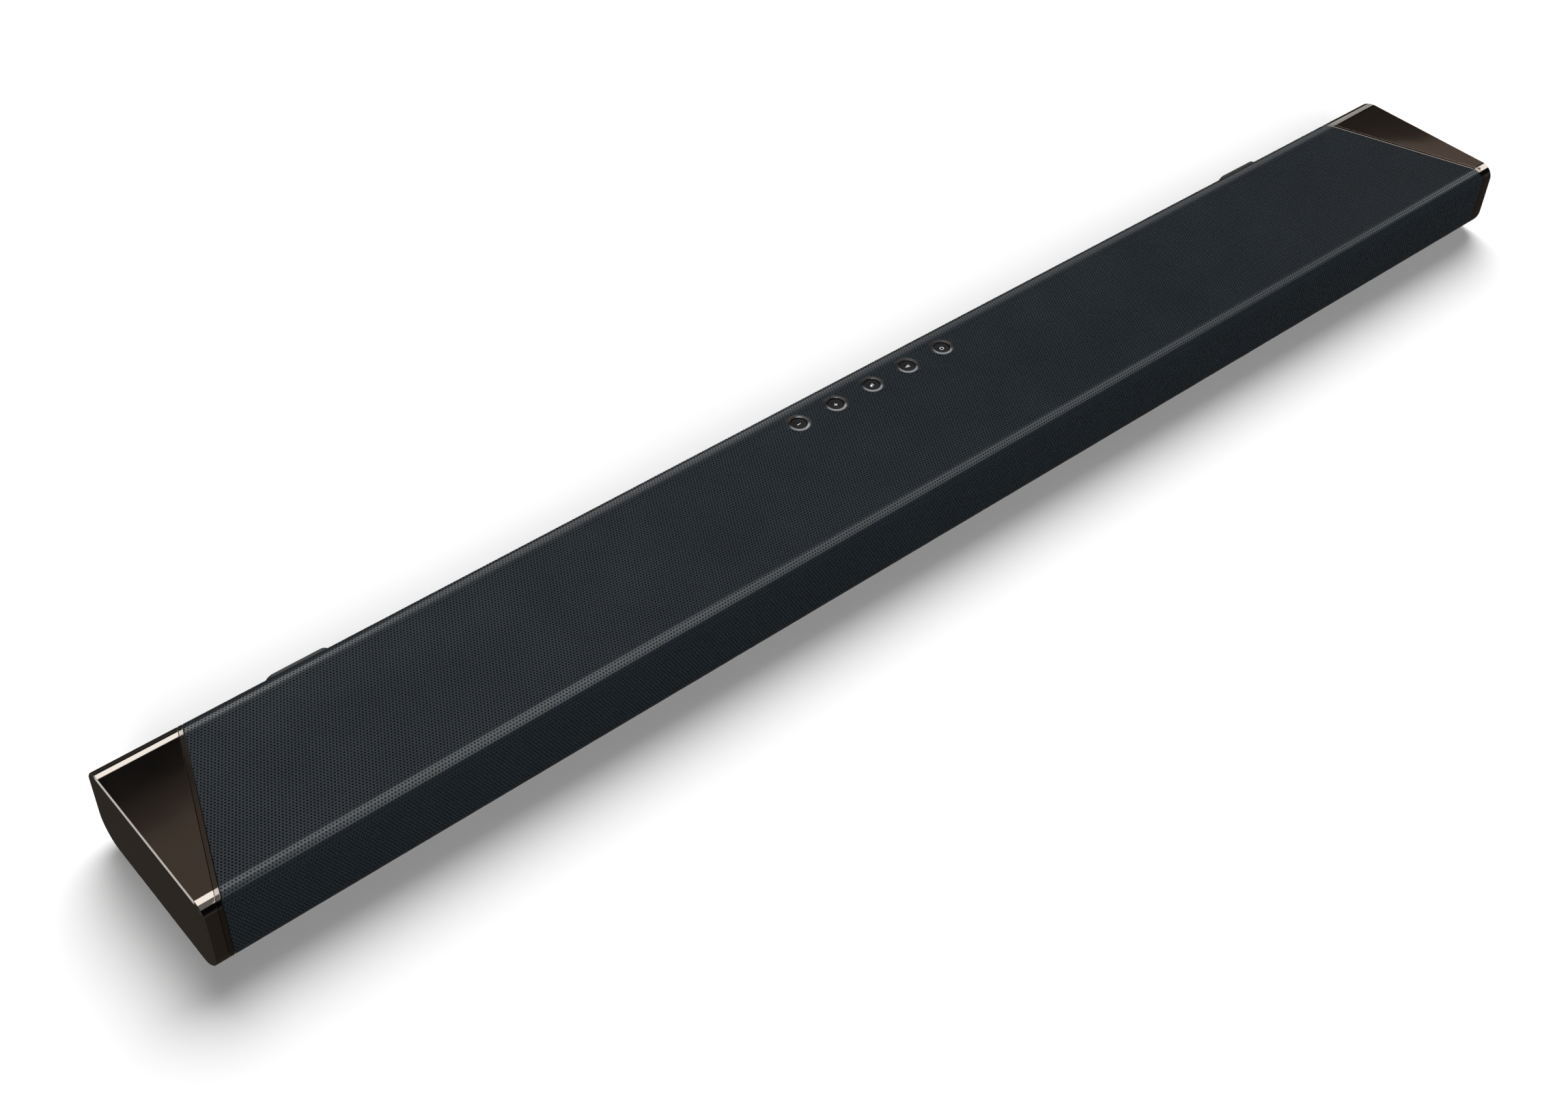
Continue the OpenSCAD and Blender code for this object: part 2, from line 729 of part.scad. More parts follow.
// Tweeter magnets behind their cups
module tweeter_magnets() {
    color("#4d5054") in_bar() for (x = tweeter_xs) on_baffle(x) translate([0, 0, 12])
        cylinder(r = 14, h = 8);
}

// Thin soft domes
module tweeter_domes() {
    dome = 18;
    rim = 12.5;
    drop = sqrt(dome * dome - rim * rim);
    color("#35302a") in_bar() for (x = tweeter_xs) on_baffle(x) translate([0, 0, drop]) rotate_extrude()
        intersection() {
            difference() {
                circle(dome);
                circle(dome - 0.6);
            }
            translate([0, -dome]) square([rim, dome - drop]);
        }
}

// Screws that hold the drivers to the baffle
module driver_screws() {
    color("#6f7276") in_bar() {
        for (x = woofer_xs, spot = four(screw_offset)) on_baffle(x)
            translate([spot[0], spot[1], -flange_thick]) screw(driver_screw, 8);
        for (x = tweeter_xs, spot = four([tweeter_screw, tweeter_screw])) on_baffle(x)
            translate([spot[0], spot[1], -2]) screw(driver_screw, 6);
    }
}

// ---- Electronics ----

// A circuit board between two X values, with its four screw holes
module board(span) {
    color("#1f5b34") in_bar() difference() {
        block([span[0], board_y[0], board_z], [span[1], board_y[1], board_top]);
        for (spot = board_spots(span)) translate([spot[0], spot[1], board_z - 1])
            cylinder(r = board_screw[2] + 0.3, h = 4);
    }
}
module main_board() board(main_board_x);
module power_board() board(power_board_x);

// Processor, memory, converter and lead connectors on the signal board
module main_board_chips() {
    chips = [
        [[82, 2], [14, 14, 1.2]], [[98, 6], [8, 11, 1]], [[66, 0], [7, 7, 1]],
        [[68, -10], [5, 8, 1.4]], [[110, -4], [6, 5, 1]]
    ];
    color("#18191b") in_bar() {
        for (chip = chips) translate([chip[0][0], chip[0][1], board_top + chip[1][2] / 2])
            cube(chip[1], center = true);
        for (x = [142, 150, 158]) block([x - 3, -13, board_top], [x + 3, -10, board_top + 5]);
        for (x = [106, 114, 122]) block([x - 3, -16, board_top], [x + 3, -13, board_top + 5]);
    }
}

// Finned sink over the amplifier
module amplifier_heat_sink() {
    low = board_top;
    color("#9aa0a5") in_bar() {
        block([116, -4, low], [138, 14, low + 4]);
        for (i = [0:5]) block([116 + 4 * i, -4, low + 3.5], [118 + 4 * i, 14, low + 18]);
    }
}

// Screened wireless module
module wireless_module() {
    color("#b9bcbf") in_bar() block([90, -14, board_top], [101, -4, board_top + 2.2]);
}

// A rectangular socket shell with a contact tongue
module shell_socket(x, size, depth, tongue) {
    thick = 0.5;
    translate([x, 0, board_top]) {
        difference() {
            block([-size[0] / 2, socket_face_y - depth, 0], [size[0] / 2, socket_face_y, size[1]]);
            block([-size[0] / 2 + thick, socket_face_y - depth + 2, thick],
                [size[0] / 2 - thick, socket_face_y + 1, size[1] - thick]);
        }
        block([-size[0] / 2 + 2, socket_face_y - depth + 1, tongue],
            [size[0] / 2 - 2, socket_face_y - 1, tongue + 1.2]);
    }
}

// Two video sockets
module hdmi_sockets() {
    color("#b5b8bb") in_bar() for (x = hdmi_spots) shell_socket(x, hdmi_size, 12, 2.4);
}

// Service socket
module usb_socket() {
    color("#b5b8bb") in_bar() shell_socket(usb_x, usb_size, 13, 3.6);
}

// Optical input with its recessed shutter
module optical_socket() {
    half = optical_size[0] / 2;
    color("#151618") in_bar() translate([optical_x, socket_face_y, board_top]) difference() {
        block([-half, -13, 0], [half, 0, optical_size[1]]);
        block([-half + 1.2, -1.2, 1.2], [half - 1.2, 1, optical_size[1] - 1.2]);
    }
}

// Round analogue jack
module aux_socket() {
    half = aux_size[0] / 2;
    color("#22302a") in_bar() translate([aux_x, socket_face_y, board_top]) difference() {
        block([-half, -14, 0], [half, 0, aux_size[1]]);
        translate([0, -jack_depth, aux_size[1] / 2]) rotate([-90, 0, 0])
            cylinder(r = jack_radius, h = jack_depth + 1);
    }
}

// Two-pin mains inlet
module mains_inlet() {
    half = mains_size[0] / 2;
    color("#131416") in_bar() translate([mains_x, socket_face_y, board_top]) {
        difference() {
            block([-half, -20, 0], [half, 0, mains_size[1]]);
            translate([0, 0.5, mains_size[1] / 2]) rotate([90, 0, 0]) {
                for (s = [-1, 1]) translate([s * 4.1, 0, 0]) cylinder(r = 3.9, h = 12);
                translate([-4.1, -3.9, 0]) cube([8.2, 7.8, 12]);
            }
        }
        for (s = [-1, 1]) translate([s * 4.3, -13, mains_size[1] / 2]) rotate([-90, 0, 0])
            cylinder(r = 1.2, h = 10);
    }
}

// Ferrite frame of the transformer
module transformer_core() {
    color("#3a3c3f") in_bar() difference() {
        block([-104, -6, board_top], [-76, 14, board_top + 24]);
        block([-99, -7, board_top + 5], [-81, 15, board_top + 19]);
    }
}

// Taped winding inside the frame
module transformer_winding() {
    color("#c9a227") in_bar() block([-98.9, -9, board_top + 5.1], [-81.1, 17, board_top + 18.9]);
}

// Electrolytic capacitors
module power_capacitors() {
    cans = [[-150, 2, 8, 22], [-150, -11, 4, 12], [-64, 4, 5, 16], [-64, -8, 4, 12]];
    color("#23303f") in_bar() for (can = cans) translate([can[0], can[1], board_top])
        cylinder(r = can[2], h = can[3]);
}

// Aluminium plate that cools the power switch
module power_heat_sink() {
    color("#9aa0a5") in_bar() {
        block([-136, -14, board_top], [-110, -12, board_top + 20]);
        block([-130, -12, board_top + 4], [-120, -7.5, board_top + 18]);
    }
}

// Narrow board for the status lights, on the baffle's front face
module indicator_board() {
    color("#1f5b34") in_bar()
        block([-30, baffle_y - board_thick, 20], [30, baffle_y, 33]);
}

// Status lights behind the grille
module status_lights() {
    color("#dfe8ec") in_bar() for (i = [-2:1])
        translate([8 * i, baffle_y - board_thick, 26.5]) rotate([90, 0, 0]) cylinder(r = 1.2, h = 1.6);
}

// Infrared receiver
module remote_sensor() {
    color("#2d1c20") in_bar() {
        block([15, baffle_y - board_thick - 2, 23], [21, baffle_y - board_thick, 30]);
        translate([18, baffle_y - board_thick - 1.5, 26.5]) rotate([90, 0, 0]) cylinder(r = 2.2, h = 1.8);
    }
}

// Leads to the drivers on the right
module right_speaker_leads() {
    color("#7a1e1e") in_bar() for (route = lead_routes) lead(route, lead_radius);
}

// Leads to the drivers on the left, which cross in front of both boards
module left_speaker_leads() {
    color("#7a1e1e") in_bar() for (i = [0:2]) {
        route = lead_routes[i];
        y = 3.5 * i - 29;
        x = 122 - 8 * i;
        near = [[x, -17.2, 12.1], [x, -20, 12.1], [x - 14, y, 8], [0, y, 6], [-130, y, 6],
            [-150, y, 9.5], [4 * i - 168, y + 5, 13.5]];
        far = [for (k = [3:len(route) - 1]) [-route[k][0], route[k][1], route[k][2]]];
        lead(concat(near, far), lead_radius);
    }
}

// Leads from the power board to the signal board
module power_leads() {
    color("#2a2a2a") in_bar() for (i = [0:2])
        lead([[-54, 2 + 4 * i, 11.1], [-40, 4 + 4 * i, 12], [0, 4 + 4 * i, 8], [40, 4 + 4 * i, 12],
            [53.8, 4 + 4 * i, 11.1]], lead_radius);
}

// ---- Rear fittings, screws and feet ----

// Moulded bracket with a keyhole, which stands the bar off a wall
module wall_bracket(side) {
    low = 9.1;
    high = 35.1;
    round = 5.6;
    plate = 2.5;
    half = bracket_width / 2;
    outer = rear_y + bracket_out;
    entry_z = 17.5;
    color("#161719") in_bar() translate([side * bracket_x, 0, 0]) difference() {
        translate([0, outer, 0]) rotate([90, 0, 0]) linear_extrude(bracket_out + 8) {
            for (s = [-1, 1], z = [low + round, high - round]) translate([s * (half - round), z])
                circle(round);
            translate([-half, low + round]) square([2 * half, high - low - 2 * round]);
            translate([-half + round, low]) square([2 * half - 2 * round, high - low]);
        }
        along_x(-half - 1, half + 1) outline();
        block([-7, rear_y + 1.5, 11.5], [7, outer - plate, 33]);
        translate([0, outer + 1, entry_z]) rotate([90, 0, 0]) cylinder(r = keyhole_radius, h = 6);
        translate([0, outer + 1, entry_z + 9.5]) rotate([90, 0, 0]) cylinder(r = slot_radius, h = 6);
        block([-slot_radius, outer - 5, entry_z], [slot_radius, outer + 1, entry_z + 9.5]);
        for (s = [-1, 1]) translate([s * bracket_screw_x, outer + 1, bracket_screw_z]) rotate([90, 0, 0]) {
            cylinder(r = case_screw[2] + 0.25, h = reach / 2);
            cylinder(r = case_screw[0] + 0.3, h = bracket_out - 3);
        }
    }
}
module left_wall_bracket() wall_bracket(-1);
module right_wall_bracket() wall_bracket(1);

// Screws that hold the brackets to the rear wall
module bracket_screws() {
    color("#8d9094") in_bar() for (side = [-1, 1], s = [-1, 1])
        translate([side * bracket_x + s * bracket_screw_x, rear_y + 4, bracket_screw_z])
            rotate([90, 0, 0]) screw(case_screw, 12);
}

// Screws from below that close the case
module housing_screws() {
    color("#8d9094") in_bar() for (spot = post_spots)
        translate([spot[0], spot[1], 1.3]) screw(case_screw, 14);
}

// Screws from inside that hold the end caps
module cap_screws() {
    color("#8d9094") in_bar() for (side = [-1, 1], spot = cap_boss_spots) on_side(side)
        on_joint(0, spot) screw(case_screw, 15);
}

// Screws that hold both boards
module board_screws() {
    color("#8d9094") in_bar() for (span = [main_board_x, power_board_x], spot = board_spots(span))
        translate([spot[0], spot[1], board_top]) mirror([0, 0, 1]) screw(board_screw, 6);
}

// Small screws of the button carrier and its board
module button_screws() {
    color("#8d9094") in_bar() {
        for (spot = carrier_spots()) translate([spot[0], spot[1], carrier_top - small_screw[1]])
            mirror([0, 0, 1]) screw(small_screw, 5);
        for (s = [-1, 1]) translate([s * board_post_x, button_y, button_board_z])
            screw(small_screw, 6);
    }
}

function foot_spots() = [for (x = [-430, 0, 430], y = [-28, 28]) [x, y]];

// Six round rubber feet
module rubber_feet() {
    color("#0c0c0c") in_bar() for (spot = foot_spots()) translate([spot[0], spot[1], -foot_height])
        cylinder(r = foot_radius, h = foot_height + 0.8);
}

lower_housing();
upper_cabinet();
grille();
grille_cloth();
left_end_cap();
right_end_cap();
left_bezel();
right_bezel();
power_button();
source_button();
mute_button();
volume_up_button();
volume_down_button();
button_rings();
button_carrier();
button_board();
button_switches();
woofer_baskets();
woofer_magnets();
woofer_spiders();
woofer_surrounds();
far_left_cone();
near_left_cone();
near_right_cone();
far_right_cone();
tweeter_bodies();
tweeter_magnets();
tweeter_domes();
driver_screws();
main_board();
main_board_chips();
amplifier_heat_sink();
wireless_module();
hdmi_sockets();
optical_socket();
aux_socket();
usb_socket();
power_board();
mains_inlet();
transformer_core();
transformer_winding();
power_capacitors();
power_heat_sink();
indicator_board();
status_lights();
remote_sensor();
left_speaker_leads();
right_speaker_leads();
power_leads();
left_wall_bracket();
right_wall_bracket();
bracket_screws();
housing_screws();
cap_screws();
board_screws();
button_screws();
rubber_feet();
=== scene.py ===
"""Looks of a long soundbar: perforated steel grille, gloss bronze end caps, dished buttons in trim rings.

Shapes are built in millimetres in the bar's own frame: X along the bar from its middle, Y to the rear
from mid depth, Z up from the underside. place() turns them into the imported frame, in metres.
"""

import json
import math

import bmesh
import bpy
import numpy as np
from mathutils import Matrix, Vector
from mathutils.geometry import delaunay_2d_cdt


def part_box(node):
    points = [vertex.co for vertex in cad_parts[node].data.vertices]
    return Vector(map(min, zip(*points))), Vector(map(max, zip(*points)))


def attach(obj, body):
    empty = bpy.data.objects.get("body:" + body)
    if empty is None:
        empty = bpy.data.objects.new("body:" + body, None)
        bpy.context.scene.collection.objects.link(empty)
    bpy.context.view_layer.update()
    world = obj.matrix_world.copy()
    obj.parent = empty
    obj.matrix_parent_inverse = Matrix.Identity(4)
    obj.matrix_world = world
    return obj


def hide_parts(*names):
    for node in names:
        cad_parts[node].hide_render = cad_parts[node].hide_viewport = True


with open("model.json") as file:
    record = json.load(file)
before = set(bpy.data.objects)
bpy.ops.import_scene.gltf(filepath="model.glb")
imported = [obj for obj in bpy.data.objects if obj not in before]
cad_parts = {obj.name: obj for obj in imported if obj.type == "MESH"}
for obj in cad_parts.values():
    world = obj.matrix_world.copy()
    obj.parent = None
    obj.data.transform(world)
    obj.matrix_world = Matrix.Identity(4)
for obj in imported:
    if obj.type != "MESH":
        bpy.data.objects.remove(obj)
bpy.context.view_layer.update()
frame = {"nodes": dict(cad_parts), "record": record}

MM = 0.001

# ---- Measures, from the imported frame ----

grille_low, grille_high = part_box("grille")
housing_low, housing_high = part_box("lower_housing")
cap_low, cap_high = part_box("right_end_cap")
bezel_low, bezel_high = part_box("right_bezel")

MIDDLE = np.array([0.0, (grille_low.y + housing_high.y) / 2, housing_low.z])
HALF_LENGTH = cap_high.x / MM
HALF_DEPTH = (housing_high.y - grille_low.y) / 2 / MM
HEIGHT = (grille_high.z - housing_low.z) / MM
FRONT_TOP = 9.6
FRONT_LOW = 15.3
REAR_LOW = 16.2
# The rear top edge is rounder along the top than down the rear
REAR_TOP_DEPTH, REAR_TOP_DROP = 12.5, 8.0

# The end joints lean by this much along X for each step along Y; their places in X are those at mid depth
LEAN = math.tan(math.radians(20))
GRILLE_END = grille_high.x / MM - LEAN * HALF_DEPTH
BEZEL_IN = bezel_low.x / MM + LEAN * HALF_DEPTH
BEZEL_OUT = bezel_high.x / MM - LEAN * HALF_DEPTH
CAP_IN = cap_low.x / MM + LEAN * HALF_DEPTH

BUTTON_NODES = ("power_button", "source_button", "mute_button", "volume_up_button", "volume_down_button")
BUTTON_RADIUS = 5.1
RING_RADIUS = 7.5


def place(points):
    """Points of the bar's frame, in millimetres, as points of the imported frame, in metres."""
    return np.asarray(points, float).reshape(-1, 3) * MM + MIDDLE


def centre_of(node):
    """Middle of a CAD node's box in the bar's frame."""
    low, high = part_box(node)
    return ((np.array(low) + np.array(high)) / 2 - MIDDLE) / MM


# ---- The bar's outline, by the distance round it from under the front ----

# An arc's middle (y, z), its radii along Y and Z, and its first angle; or a line's two ends (y, z)
OUTLINE_PARTS = (
    ("arc", FRONT_LOW - HALF_DEPTH, FRONT_LOW, FRONT_LOW, FRONT_LOW, 270),
    ("line", -HALF_DEPTH, FRONT_LOW, -HALF_DEPTH, HEIGHT - FRONT_TOP),
    ("arc", FRONT_TOP - HALF_DEPTH, HEIGHT - FRONT_TOP, FRONT_TOP, FRONT_TOP, 180),
    ("line", FRONT_TOP - HALF_DEPTH, HEIGHT, HALF_DEPTH - REAR_TOP_DEPTH, HEIGHT),
    ("arc", HALF_DEPTH - REAR_TOP_DEPTH, HEIGHT - REAR_TOP_DROP, REAR_TOP_DEPTH, REAR_TOP_DROP, 90),
    ("line", HALF_DEPTH, HEIGHT - REAR_TOP_DROP, HALF_DEPTH, REAR_LOW),
    ("arc", HALF_DEPTH - REAR_LOW, REAR_LOW, REAR_LOW, REAR_LOW, 0),
    ("line", HALF_DEPTH - REAR_LOW, 0.0, FRONT_LOW - HALF_DEPTH, 0.0),
)
ARC_SAMPLES = 181


def arc_table(part):
    """Angles along a quarter arc, and the distance run at each."""
    turns = math.radians(part[5]) - np.linspace(0, math.pi / 2, ARC_SAMPLES)
    path = np.stack([part[3] * np.cos(turns), part[4] * np.sin(turns)], 1)
    return turns, np.concatenate([[0.0], np.cumsum(np.linalg.norm(np.diff(path, axis=0), axis=1))])


def part_length(part):
    """Length of one arc or line of the outline."""
    if part[0] == "arc":
        return arc_table(part)[1][-1]
    return math.hypot(part[3] - part[1], part[4] - part[2])


PART_STARTS = np.concatenate([[0.0], np.cumsum([part_length(p) for p in OUTLINE_PARTS])])
# Where the flat top starts and ends, and where the rear wall starts
TOP_START, TOP_END, REAR_START = PART_STARTS[3:6]


def outline(distance):
    """Points (y, z) and outward normals of the outline at distances round it."""
    s = np.atleast_1d(np.asarray(distance, float))
    points, normals = np.zeros((len(s), 2)), np.zeros((len(s), 2))
    for part, start, end in zip(OUTLINE_PARTS, PART_STARTS, PART_STARTS[1:]):
        here = (s >= start - 1e-9) & (s <= end + 1e-9)
        if part[0] == "arc":
            turns, run = arc_table(part)
            turn = np.interp(s[here] - start, run, turns)
            away = np.stack([np.cos(turn), np.sin(turn)], 1)
            points[here] = np.array(part[1:3]) + np.array(part[3:5]) * away
            out = away / np.array(part[3:5])
            normals[here] = out / np.linalg.norm(out, axis=1)[:, None]
        else:
            along = np.array(part[3:5]) - np.array(part[1:3])
            share = (s[here] - start) / (end - start)
            points[here] = np.array(part[1:3]) + share[:, None] * along
            normals[here] = np.array([-along[1], along[0]]) / np.linalg.norm(along)
    return points, normals


def outline_stops(arc_steps=20, line_steps=6):
    """Distances at which a loft follows the outline: close on its arcs, wide on its flats."""
    stops = []
    for part, start, end in zip(OUTLINE_PARTS, PART_STARTS, PART_STARTS[1:]):
        steps = arc_steps if part[0] == "arc" else line_steps
        stops += [start + (end - start) * i / steps for i in range(steps)]
    return np.array(stops)


# ---- Meshes ----

# The setting of a weighted normal at which the widest faces count most
HIGHEST_WEIGHT = 100


def add_object(name, mesh, slot, replaces=(), body="bar", more_materials=()):
    """Links a finished mesh as a piece of the object, with its slot's material."""
    piece = bpy.data.objects.new(name, mesh)
    bpy.context.scene.collection.objects.link(piece)
    for item in (slot, *more_materials):
        mesh.materials.append(MATERIALS[item])
    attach(piece, body)
    if replaces:
        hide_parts(*replaces)
    return piece


def flatten_shading(piece):
    """Gives wide faces their own normals, so that narrow rounded edges don't tint them."""
    modifier = piece.modifiers.new("wide_faces", "WEIGHTED_NORMAL")
    modifier.weight = HIGHEST_WEIGHT
    modifier.keep_sharp = True


def make_mesh(name, points, faces, sharp=35.0, material_index=None, closed=True):
    """A smooth-shaded mesh from points of the bar's frame, with edges sharper than an angle kept sharp."""
    mesh = bpy.data.meshes.new(name)
    mesh.from_pydata(place(points).tolist(), [], [list(map(int, f)) for f in faces])
    if material_index is not None:
        mesh.polygons.foreach_set("material_index", material_index)
    if closed:
        bm = bmesh.new()
        bm.from_mesh(mesh)
        bmesh.ops.recalc_face_normals(bm, faces=bm.faces)
        bm.to_mesh(mesh)
        bm.free()
    mesh.shade_smooth()
    mesh.set_sharp_from_angle(angle=math.radians(sharp))
    return mesh


def lathe_rows(profile, steps, x=0.0, y=0.0):
    """Points and faces of a (radius, z) profile turned about Z. A radius of 0 is a single point."""
    points, rows, faces = [], [], []
    for radius, z in profile:
        count = 1 if radius == 0 else steps
        rows.append((len(points), count))
        turns = [2 * math.pi * i / steps for i in range(count)]
        points += [(x + radius * math.cos(a), y + radius * math.sin(a), z) for a in turns]
    for (a, na), (b, nb) in zip(rows, rows[1:]):
        for i in range(steps):
            j = (i + 1) % steps
            if na == 1:
                faces.append((a, b + i, b + j))
            elif nb == 1:
                faces.append((a + i, b, a + j))
            else:
                faces.append((a + i, b + i, b + j, a + j))
    return points, faces


def joined(parts):
    """Several (points, faces) lists as one."""
    points, faces = [], []
    for more_points, more_faces in parts:
        start = len(points)
        points += [tuple(p) for p in more_points]
        faces += [tuple(i + start for i in face) for face in more_faces]
    return points, faces


# ---- Materials ----


def new_material(name):
    """A material with an empty Principled shader: the material, its node tree and the shader."""
    material = bpy.data.materials.new(name)
    material.use_nodes = True
    tree = material.node_tree
    tree.nodes.clear()
    shader = tree.nodes.new("ShaderNodeBsdfPrincipled")
    output = tree.nodes.new("ShaderNodeOutputMaterial")
    tree.links.new(shader.outputs["BSDF"], output.inputs["Surface"])
    return material, tree, shader


def add_node(tree, kind, settings=None, **inputs):
    """A shader node with its settings and inputs, by name or as i0, i1. A socket is linked."""
    made = tree.nodes.new("ShaderNode" + kind)
    for key, value in (settings or {}).items():
        setattr(made, key, value)
    for key, value in inputs.items():
        name = key.replace("_", " ")
        socket = made.inputs[int(key[1:])] if key[0] == "i" and key[1:].isdigit() else made.inputs[name]
        if isinstance(value, bpy.types.NodeSocket):
            tree.links.new(value, socket)
        else:
            socket.default_value = value
    return made


def object_point(tree, stretch=(1.0, 1.0, 1.0)):
    """Object coordinates, stretched for a pattern."""
    source = add_node(tree, "TexCoord").outputs["Object"]
    return add_node(tree, "Mapping", Vector=source, Scale=stretch).outputs["Vector"]


def noise(tree, point, scale, detail=3.0, rough=0.5):
    """A noise pattern's value."""
    made = add_node(tree, "TexNoise", Vector=point, Scale=scale, Detail=detail, Roughness=rough)
    return made.outputs["Fac"]


def maths(tree, operation, *values):
    """The result of a Math node."""
    inputs = {f"i{k}": value for k, value in enumerate(values)}
    return add_node(tree, "Math", {"operation": operation}, **inputs).outputs[0]


def add_relief(tree, shader, height, strength, distance=0.0002):
    """Bumps a shader's surface."""
    relief = add_node(tree, "Bump", Strength=strength, Distance=distance, Height=height)
    tree.links.new(relief.outputs["Normal"], shader.inputs["Normal"])


def ramp(tree, value, stops):
    """A colour ramp from (position, colour) stops; a colour is a grey or three numbers."""
    made = add_node(tree, "ValToRGB", Fac=value)
    elements = made.color_ramp.elements
    while len(elements) < len(stops):
        elements.new(0.5)
    for element, (position, colour) in zip(elements, stops):
        element.position = position
        rgb = (colour,) * 3 if isinstance(colour, (int, float)) else tuple(colour)
        element.color = rgb + (1.0,)
    return made.outputs["Color"]


def between(tree, value, low, high, start=0.3, end=0.7):
    """A number that runs from low to high as value runs from start to end."""
    made = add_node(tree, "MapRange", Value=value, From_Min=start, From_Max=end, To_Min=low, To_Max=high)
    return made.outputs["Result"]


def tinted(colour, share):
    """A colour made darker or lighter."""
    return tuple(min(1.0, c * share) for c in colour)


FINE_SHARE = 0.45
# A wave texture of scale 1 repeats after this length
WAVE_LENGTH = math.pi / 10


def finish(
    name, colour, roughness, metallic=0.0, coat=0.0, spread=0.12, grain=2500.0, bump=0.08,
    stretch=(1.0, 1.0, 1.0), vary=0.05, patch=60.0, coat_roughness=0.05, ior=1.5,
):
    """A moulded, painted, rubber or metal finish: mottled colour, roughness that varies, a fine grain."""
    material, tree, shader = new_material(name)
    point = object_point(tree, stretch)
    fine = noise(tree, point, grain, 3.0)
    broad = noise(tree, point, patch, 4.0, 0.6)
    mixed = maths(tree, "MULTIPLY_ADD", broad, 1 - FINE_SHARE, maths(tree, "MULTIPLY", fine, FINE_SHARE))
    stops = [(0.3, tinted(colour, 1 - spread)), (0.5, colour), (0.7, tinted(colour, 1 + spread))]
    tree.links.new(ramp(tree, mixed, stops), shader.inputs["Base Color"])
    tree.links.new(between(tree, broad, roughness - vary, roughness + vary), shader.inputs["Roughness"])
    if bump:
        add_relief(tree, shader, fine, bump)
    shader.inputs["Metallic"].default_value = metallic
    shader.inputs["IOR"].default_value = ior
    shader.inputs["Coat Weight"].default_value = coat
    shader.inputs["Coat Roughness"].default_value = coat_roughness
    return material


def woven(name, colour, pitch, roughness, bump=0.4, dark=0.35):
    """A plain weave of threads that cross at right angles, on level faces and on upright ones, with painted
    shade where the weave is low.
    """
    material, tree, shader = new_material(name)
    point = object_point(tree)
    waves = []
    for axis in ("X", "Y", "Z"):
        wave = add_node(
            tree, "TexWave", {"wave_type": "BANDS", "bands_direction": axis},
            Vector=point, Scale=WAVE_LENGTH / pitch, Distortion=0.6, Detail=1.0, Detail_Scale=1.5,
        )
        waves.append(wave.outputs["Fac"])
    height = maths(tree, "MULTIPLY", waves[0], maths(tree, "MAXIMUM", waves[1], waves[2]))
    # Painted shade: the thread colour is darkened by the share dark in the low parts between threads
    threads = ramp(tree, height, [(0.0, tinted(colour, dark)), (0.8, colour)])
    tree.links.new(threads, shader.inputs["Base Color"])
    fuzz = noise(tree, point, 900.0)
    tree.links.new(between(tree, fuzz, roughness - 0.05, roughness + 0.05), shader.inputs["Roughness"])
    add_relief(tree, shader, height, bump)
    return material


def board_finish(name):
    """Green solder mask over copper tracks, with a fine speckle."""
    material, tree, shader = new_material(name)
    point = object_point(tree)
    tracks = add_node(
        tree, "TexBrick", {"offset": 0.37, "squash": 1.7, "squash_frequency": 3}, Vector=point, Scale=160.0,
        Mortar_Size=0.06, Brick_Width=0.9, Row_Height=0.22,
    ).outputs["Fac"]
    speckle = noise(tree, point, 700.0)
    tone = maths(tree, "MULTIPLY_ADD", tracks, 0.5, speckle)
    stops = [(0.35, (0.006, 0.05, 0.018)), (0.75, (0.012, 0.10, 0.036)), (0.95, (0.02, 0.16, 0.06))]
    tree.links.new(ramp(tree, tone, stops), shader.inputs["Base Color"])
    tree.links.new(between(tree, speckle, 0.28, 0.42), shader.inputs["Roughness"])
    add_relief(tree, shader, tracks, 0.25, 0.0001)
    return material


BRUSHED = (1.0, 30.0, 30.0)
POLISHED = dict(metallic=1.0, coat=0.2, grain=900.0, bump=0.0, patch=18.0)
